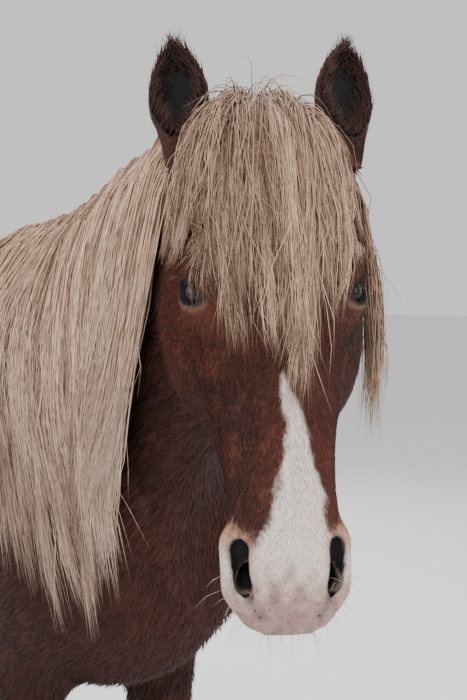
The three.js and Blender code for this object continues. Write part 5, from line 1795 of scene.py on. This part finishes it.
def eye_shape():
    """An eyeball's points about its middle, with its poles last, and the marks of its iris and pupil."""
    theta = np.linspace(0, math.pi, EYE_ROWS + 1)[1:-1, None]
    phi = 2 * math.pi * np.arange(EYE_TURNS) / EYE_TURNS
    radius = EYE_RADIUS - EYE_INSET + CORNEA_BULGE * np.exp(-((theta / CORNEA_ANGLE) ** 2))
    shape = [radius * np.sin(theta) * np.cos(phi), radius * np.sin(theta) * np.sin(phi)]
    local = np.stack([*shape, radius * np.cos(theta) + 0 * phi], -1).reshape(-1, 3)
    poles = [[0, 0, EYE_RADIUS - EYE_INSET + CORNEA_BULGE], [0, 0, EYE_INSET - EYE_RADIUS]]
    local = np.vstack([local, poles])
    angle = np.append(np.repeat(theta[:, 0], EYE_TURNS), (0, math.pi))
    long, short = local[:, 0] / EYE_RADIUS, local[:, 1] / EYE_RADIUS
    pupil = np.hypot(long / PUPIL[0], short / PUPIL[1])
    return local, {
        "iris": smooth(0.86, 0.78, angle),
        "pupil": smooth(1.12, 0.95, pupil) * (angle < 1),
        "fibre": 0.5 + 0.5 * np.sin(31 * np.arctan2(short, long) + 3 * np.sin(40 * angle)),
    }


class HORSE_OT_eyes(bpy.types.Operator):
    """Make the two eyes, each with a bulging cornea, an iris and a level pupil."""

    bl_idname = "horse.eyes"
    bl_label = "Eyes"

    def execute(self, context):
        material = eye_material(context.scene.horse_horn)
        local, values = eye_shape()
        q = local @ np.array([EYE_LONG, EYE_SHORT, EYE_OUT]) / (1, 1, HEAD_STRETCH) + EYE
        faces = closed_rows(local, EYE_TURNS)
        for name, side in SIDES.items():
            points = from_head(q * (side, 1, 1))
            obj = make_object("eyeball_" + name, points, faces[:, ::side], values)
            dress(obj, material, "eye", "eye_" + name)
        return {"FINISHED"}


# A hoof's wall: its turns and rows, and how deep and how close its rings are
HOOF_TURNS = 64
HOOF_ROWS = 22
RING_DEPTH = 0.5
RING_PITCH = 42


def hoof_points(middle, front, back):
    """The wall of a hoof from its sole up to its rounded coronet, and the middles of both."""
    slant = 1 / math.tan(HOOF_SLOPE)
    sole_front, sole_back = front - HOOF_TOE_HEIGHT * slant, back - HOOF_HEEL_HEIGHT * slant
    turn = 2 * math.pi * np.arange(HOOF_TURNS) / HOOF_TURNS
    heel = np.maximum(np.sin(turn), 0)
    reach = np.where(heel > 0, heel**0.7, np.sin(turn))
    coronet = (front + back) / 2 + (back - front) / 2 * reach
    height = HOOF_TOE_HEIGHT + (coronet - front) / (back - front) * (HOOF_HEEL_HEIGHT - HOOF_TOE_HEIGHT)
    rings = []
    for t in np.linspace(0, 1, HOOF_ROWS):
        ring_front, ring_back = sole_front + (front - sole_front) * t, sole_back + (back - sole_back) * t
        half = HOOF_WIDTH * (0.5 - 0.06 * t) + RING_DEPTH * math.sin(t * RING_PITCH) * (1 - t)
        rounding = 1 - 0.03 * max(0, (t - 0.9) / 0.1) ** 2 - 0.015 * max(0, (0.06 - t) / 0.06)
        y = (ring_front + ring_back) / 2 + (ring_back - ring_front) / 2 * reach * rounding
        x = middle + half * rounding * (1 - 0.16 * heel**2) * np.cos(turn)
        rings.append(np.stack([x, y, height * t], -1))
    return np.vstack([*rings, rings[0].mean(0), rings[-1].mean(0)])


class HORSE_OT_hooves(bpy.types.Operator):
    """Make the four hooves with their growth rings."""

    bl_idname = "horse.hooves"
    bl_label = "Hooves"

    def execute(self, context):
        material = horn_material(context.scene.horse_horn)
        for name, middle, front, back in hoof_places():
            points = hoof_points(middle, front, back)
            obj = make_object("hoof_wall_" + name, points, closed_rows(points, HOOF_TURNS)[:, ::-1])
            dress(obj, material, "hoof", "hoof_" + name)
        return {"FINISHED"}


# The camera stands before the horse's right cheek, a little above its eyes, and looks slightly down.
CAMERA_PLACE = (-1.0304, -1.7764, 1.310)
CAMERA_TURN = math.radians(-42.11)
CAMERA_PITCH = math.radians(-3.61)
FOCAL_PIXELS = 1170
PICTURE_HEIGHT = 700
SENSOR = 24.0
LIGHT_AIM = (0, -0.3, 1.1)
# Each light: its name, place, width and share of the key light's power
LIGHTS = (
    ("key", (-3.6, -3.4, 3.6), 3.4, 1.0),
    ("fill", (1.6, -4.4, 2.4), 3.0, 0.55),
    ("top", (0.0, 0.2, 4.6), 4.0, 0.6),
    ("rim", (2.8, 3.6, 3.2), 2.6, 0.6),
    ("far_side", (-4.2, 3.0, 2.8), 2.6, 0.35),
)


class HORSE_OT_stage(bpy.types.Operator):
    """Set the pale floor, the soft light and the camera."""

    bl_idname = "horse.stage"
    bl_label = "Stage"

    def execute(self, context):
        stage = context.scene.horse_stage
        half = stage.floor_size / 2
        mesh = bpy.data.meshes.new("floor")
        corners = [(-half, -half, 0), (half, -half, 0), (half, half, 0), (-half, half, 0)]
        mesh.from_pydata(corners, [], [(0, 1, 2, 3)])
        floor = bpy.data.objects.new("floor", mesh)
        graph = Graph("pale_floor")
        grain = graph.noise(graph.object_place(), scale=30.0)
        colour = graph.tinted(stage.floor_colour, graph.ranged(grain, 0, 1, 0.98, 1.02))
        mesh.materials.append(graph.finish(colour, rough=0.8))
        context.scene.collection.objects.link(floor)
        floor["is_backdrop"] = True
        world = bpy.data.worlds.new("pale_room")
        world.use_nodes = True
        background = world.node_tree.nodes["Background"]
        background.inputs[0].default_value = (*stage.sky_colour, 1)
        background.inputs[1].default_value = stage.sky_strength
        context.scene.world = world
        for name, place, size, share in LIGHTS:
            light = bpy.data.lights.new(name, "AREA")
            light.shape = "DISK"
            light.size = size
            light.energy = stage.key_power * share
            lamp = bpy.data.objects.new(name, light)
            lamp.location = place
            way = Vector(LIGHT_AIM) - lamp.location
            lamp.rotation_euler = way.to_track_quat("-Z", "Y").to_euler()
            context.scene.collection.objects.link(lamp)
        camera = bpy.data.cameras.new("camera")
        camera.sensor_fit = "VERTICAL"
        camera.sensor_height = SENSOR
        camera.lens = SENSOR * FOCAL_PIXELS / PICTURE_HEIGHT
        eye = bpy.data.objects.new("camera", camera)
        eye.location = CAMERA_PLACE
        eye.rotation_euler = (math.pi / 2 + CAMERA_PITCH, 0, CAMERA_TURN)
        context.scene.collection.objects.link(eye)
        context.scene.camera = eye
        return {"FINISHED"}


OPERATORS = (
    HORSE_OT_stage,
    HORSE_OT_skin,
    HORSE_OT_eyes,
    HORSE_OT_hooves,
    HORSE_OT_coat,
    HORSE_OT_forelock,
    HORSE_OT_mane,
    HORSE_OT_tail,
    HORSE_OT_feathers,
    HORSE_OT_ear_hair,
    HORSE_OT_lashes,
)


class HORSE_PT_pieces(bpy.types.Panel):
    """The pieces of the horse, in the order in which they are made."""

    bl_idname = "HORSE_PT_pieces"
    bl_label = "Icelandic horse"
    bl_space_type = "VIEW_3D"
    bl_region_type = "UI"
    bl_category = "Horse"

    def draw(self, context):
        for operator in OPERATORS:
            self.layout.operator(operator.bl_idname)


SETTINGS = {
    "horse_coat": HorseCoatSettings,
    "horse_hair": HorseHairSettings,
    "horse_horn": HorseHornSettings,
    "horse_stage": HorseStageSettings,
}
CLASSES = (*SETTINGS.values(), *OPERATORS, HORSE_PT_pieces)


def register():
    """Adds the horse's settings, operators and panel."""
    for cls in CLASSES:
        bpy.utils.register_class(cls)
    for name, cls in SETTINGS.items():
        setattr(bpy.types.Scene, name, PointerProperty(type=cls))


def unregister():
    """Takes them away again."""
    for name in SETTINGS:
        delattr(bpy.types.Scene, name)
    for cls in reversed(CLASSES):
        bpy.utils.unregister_class(cls)


def main():
    """Makes every piece in order."""
    register()
    for operator in OPERATORS:
        group, name = operator.bl_idname.split(".")
        getattr(getattr(bpy.ops, group), name)()
    boxes = {"cad": CAD_BOX, "visual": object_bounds()}
    {key: [list(corner) for corner in box] for key, box in boxes.items()}


if __name__ == "__main__":
    main()
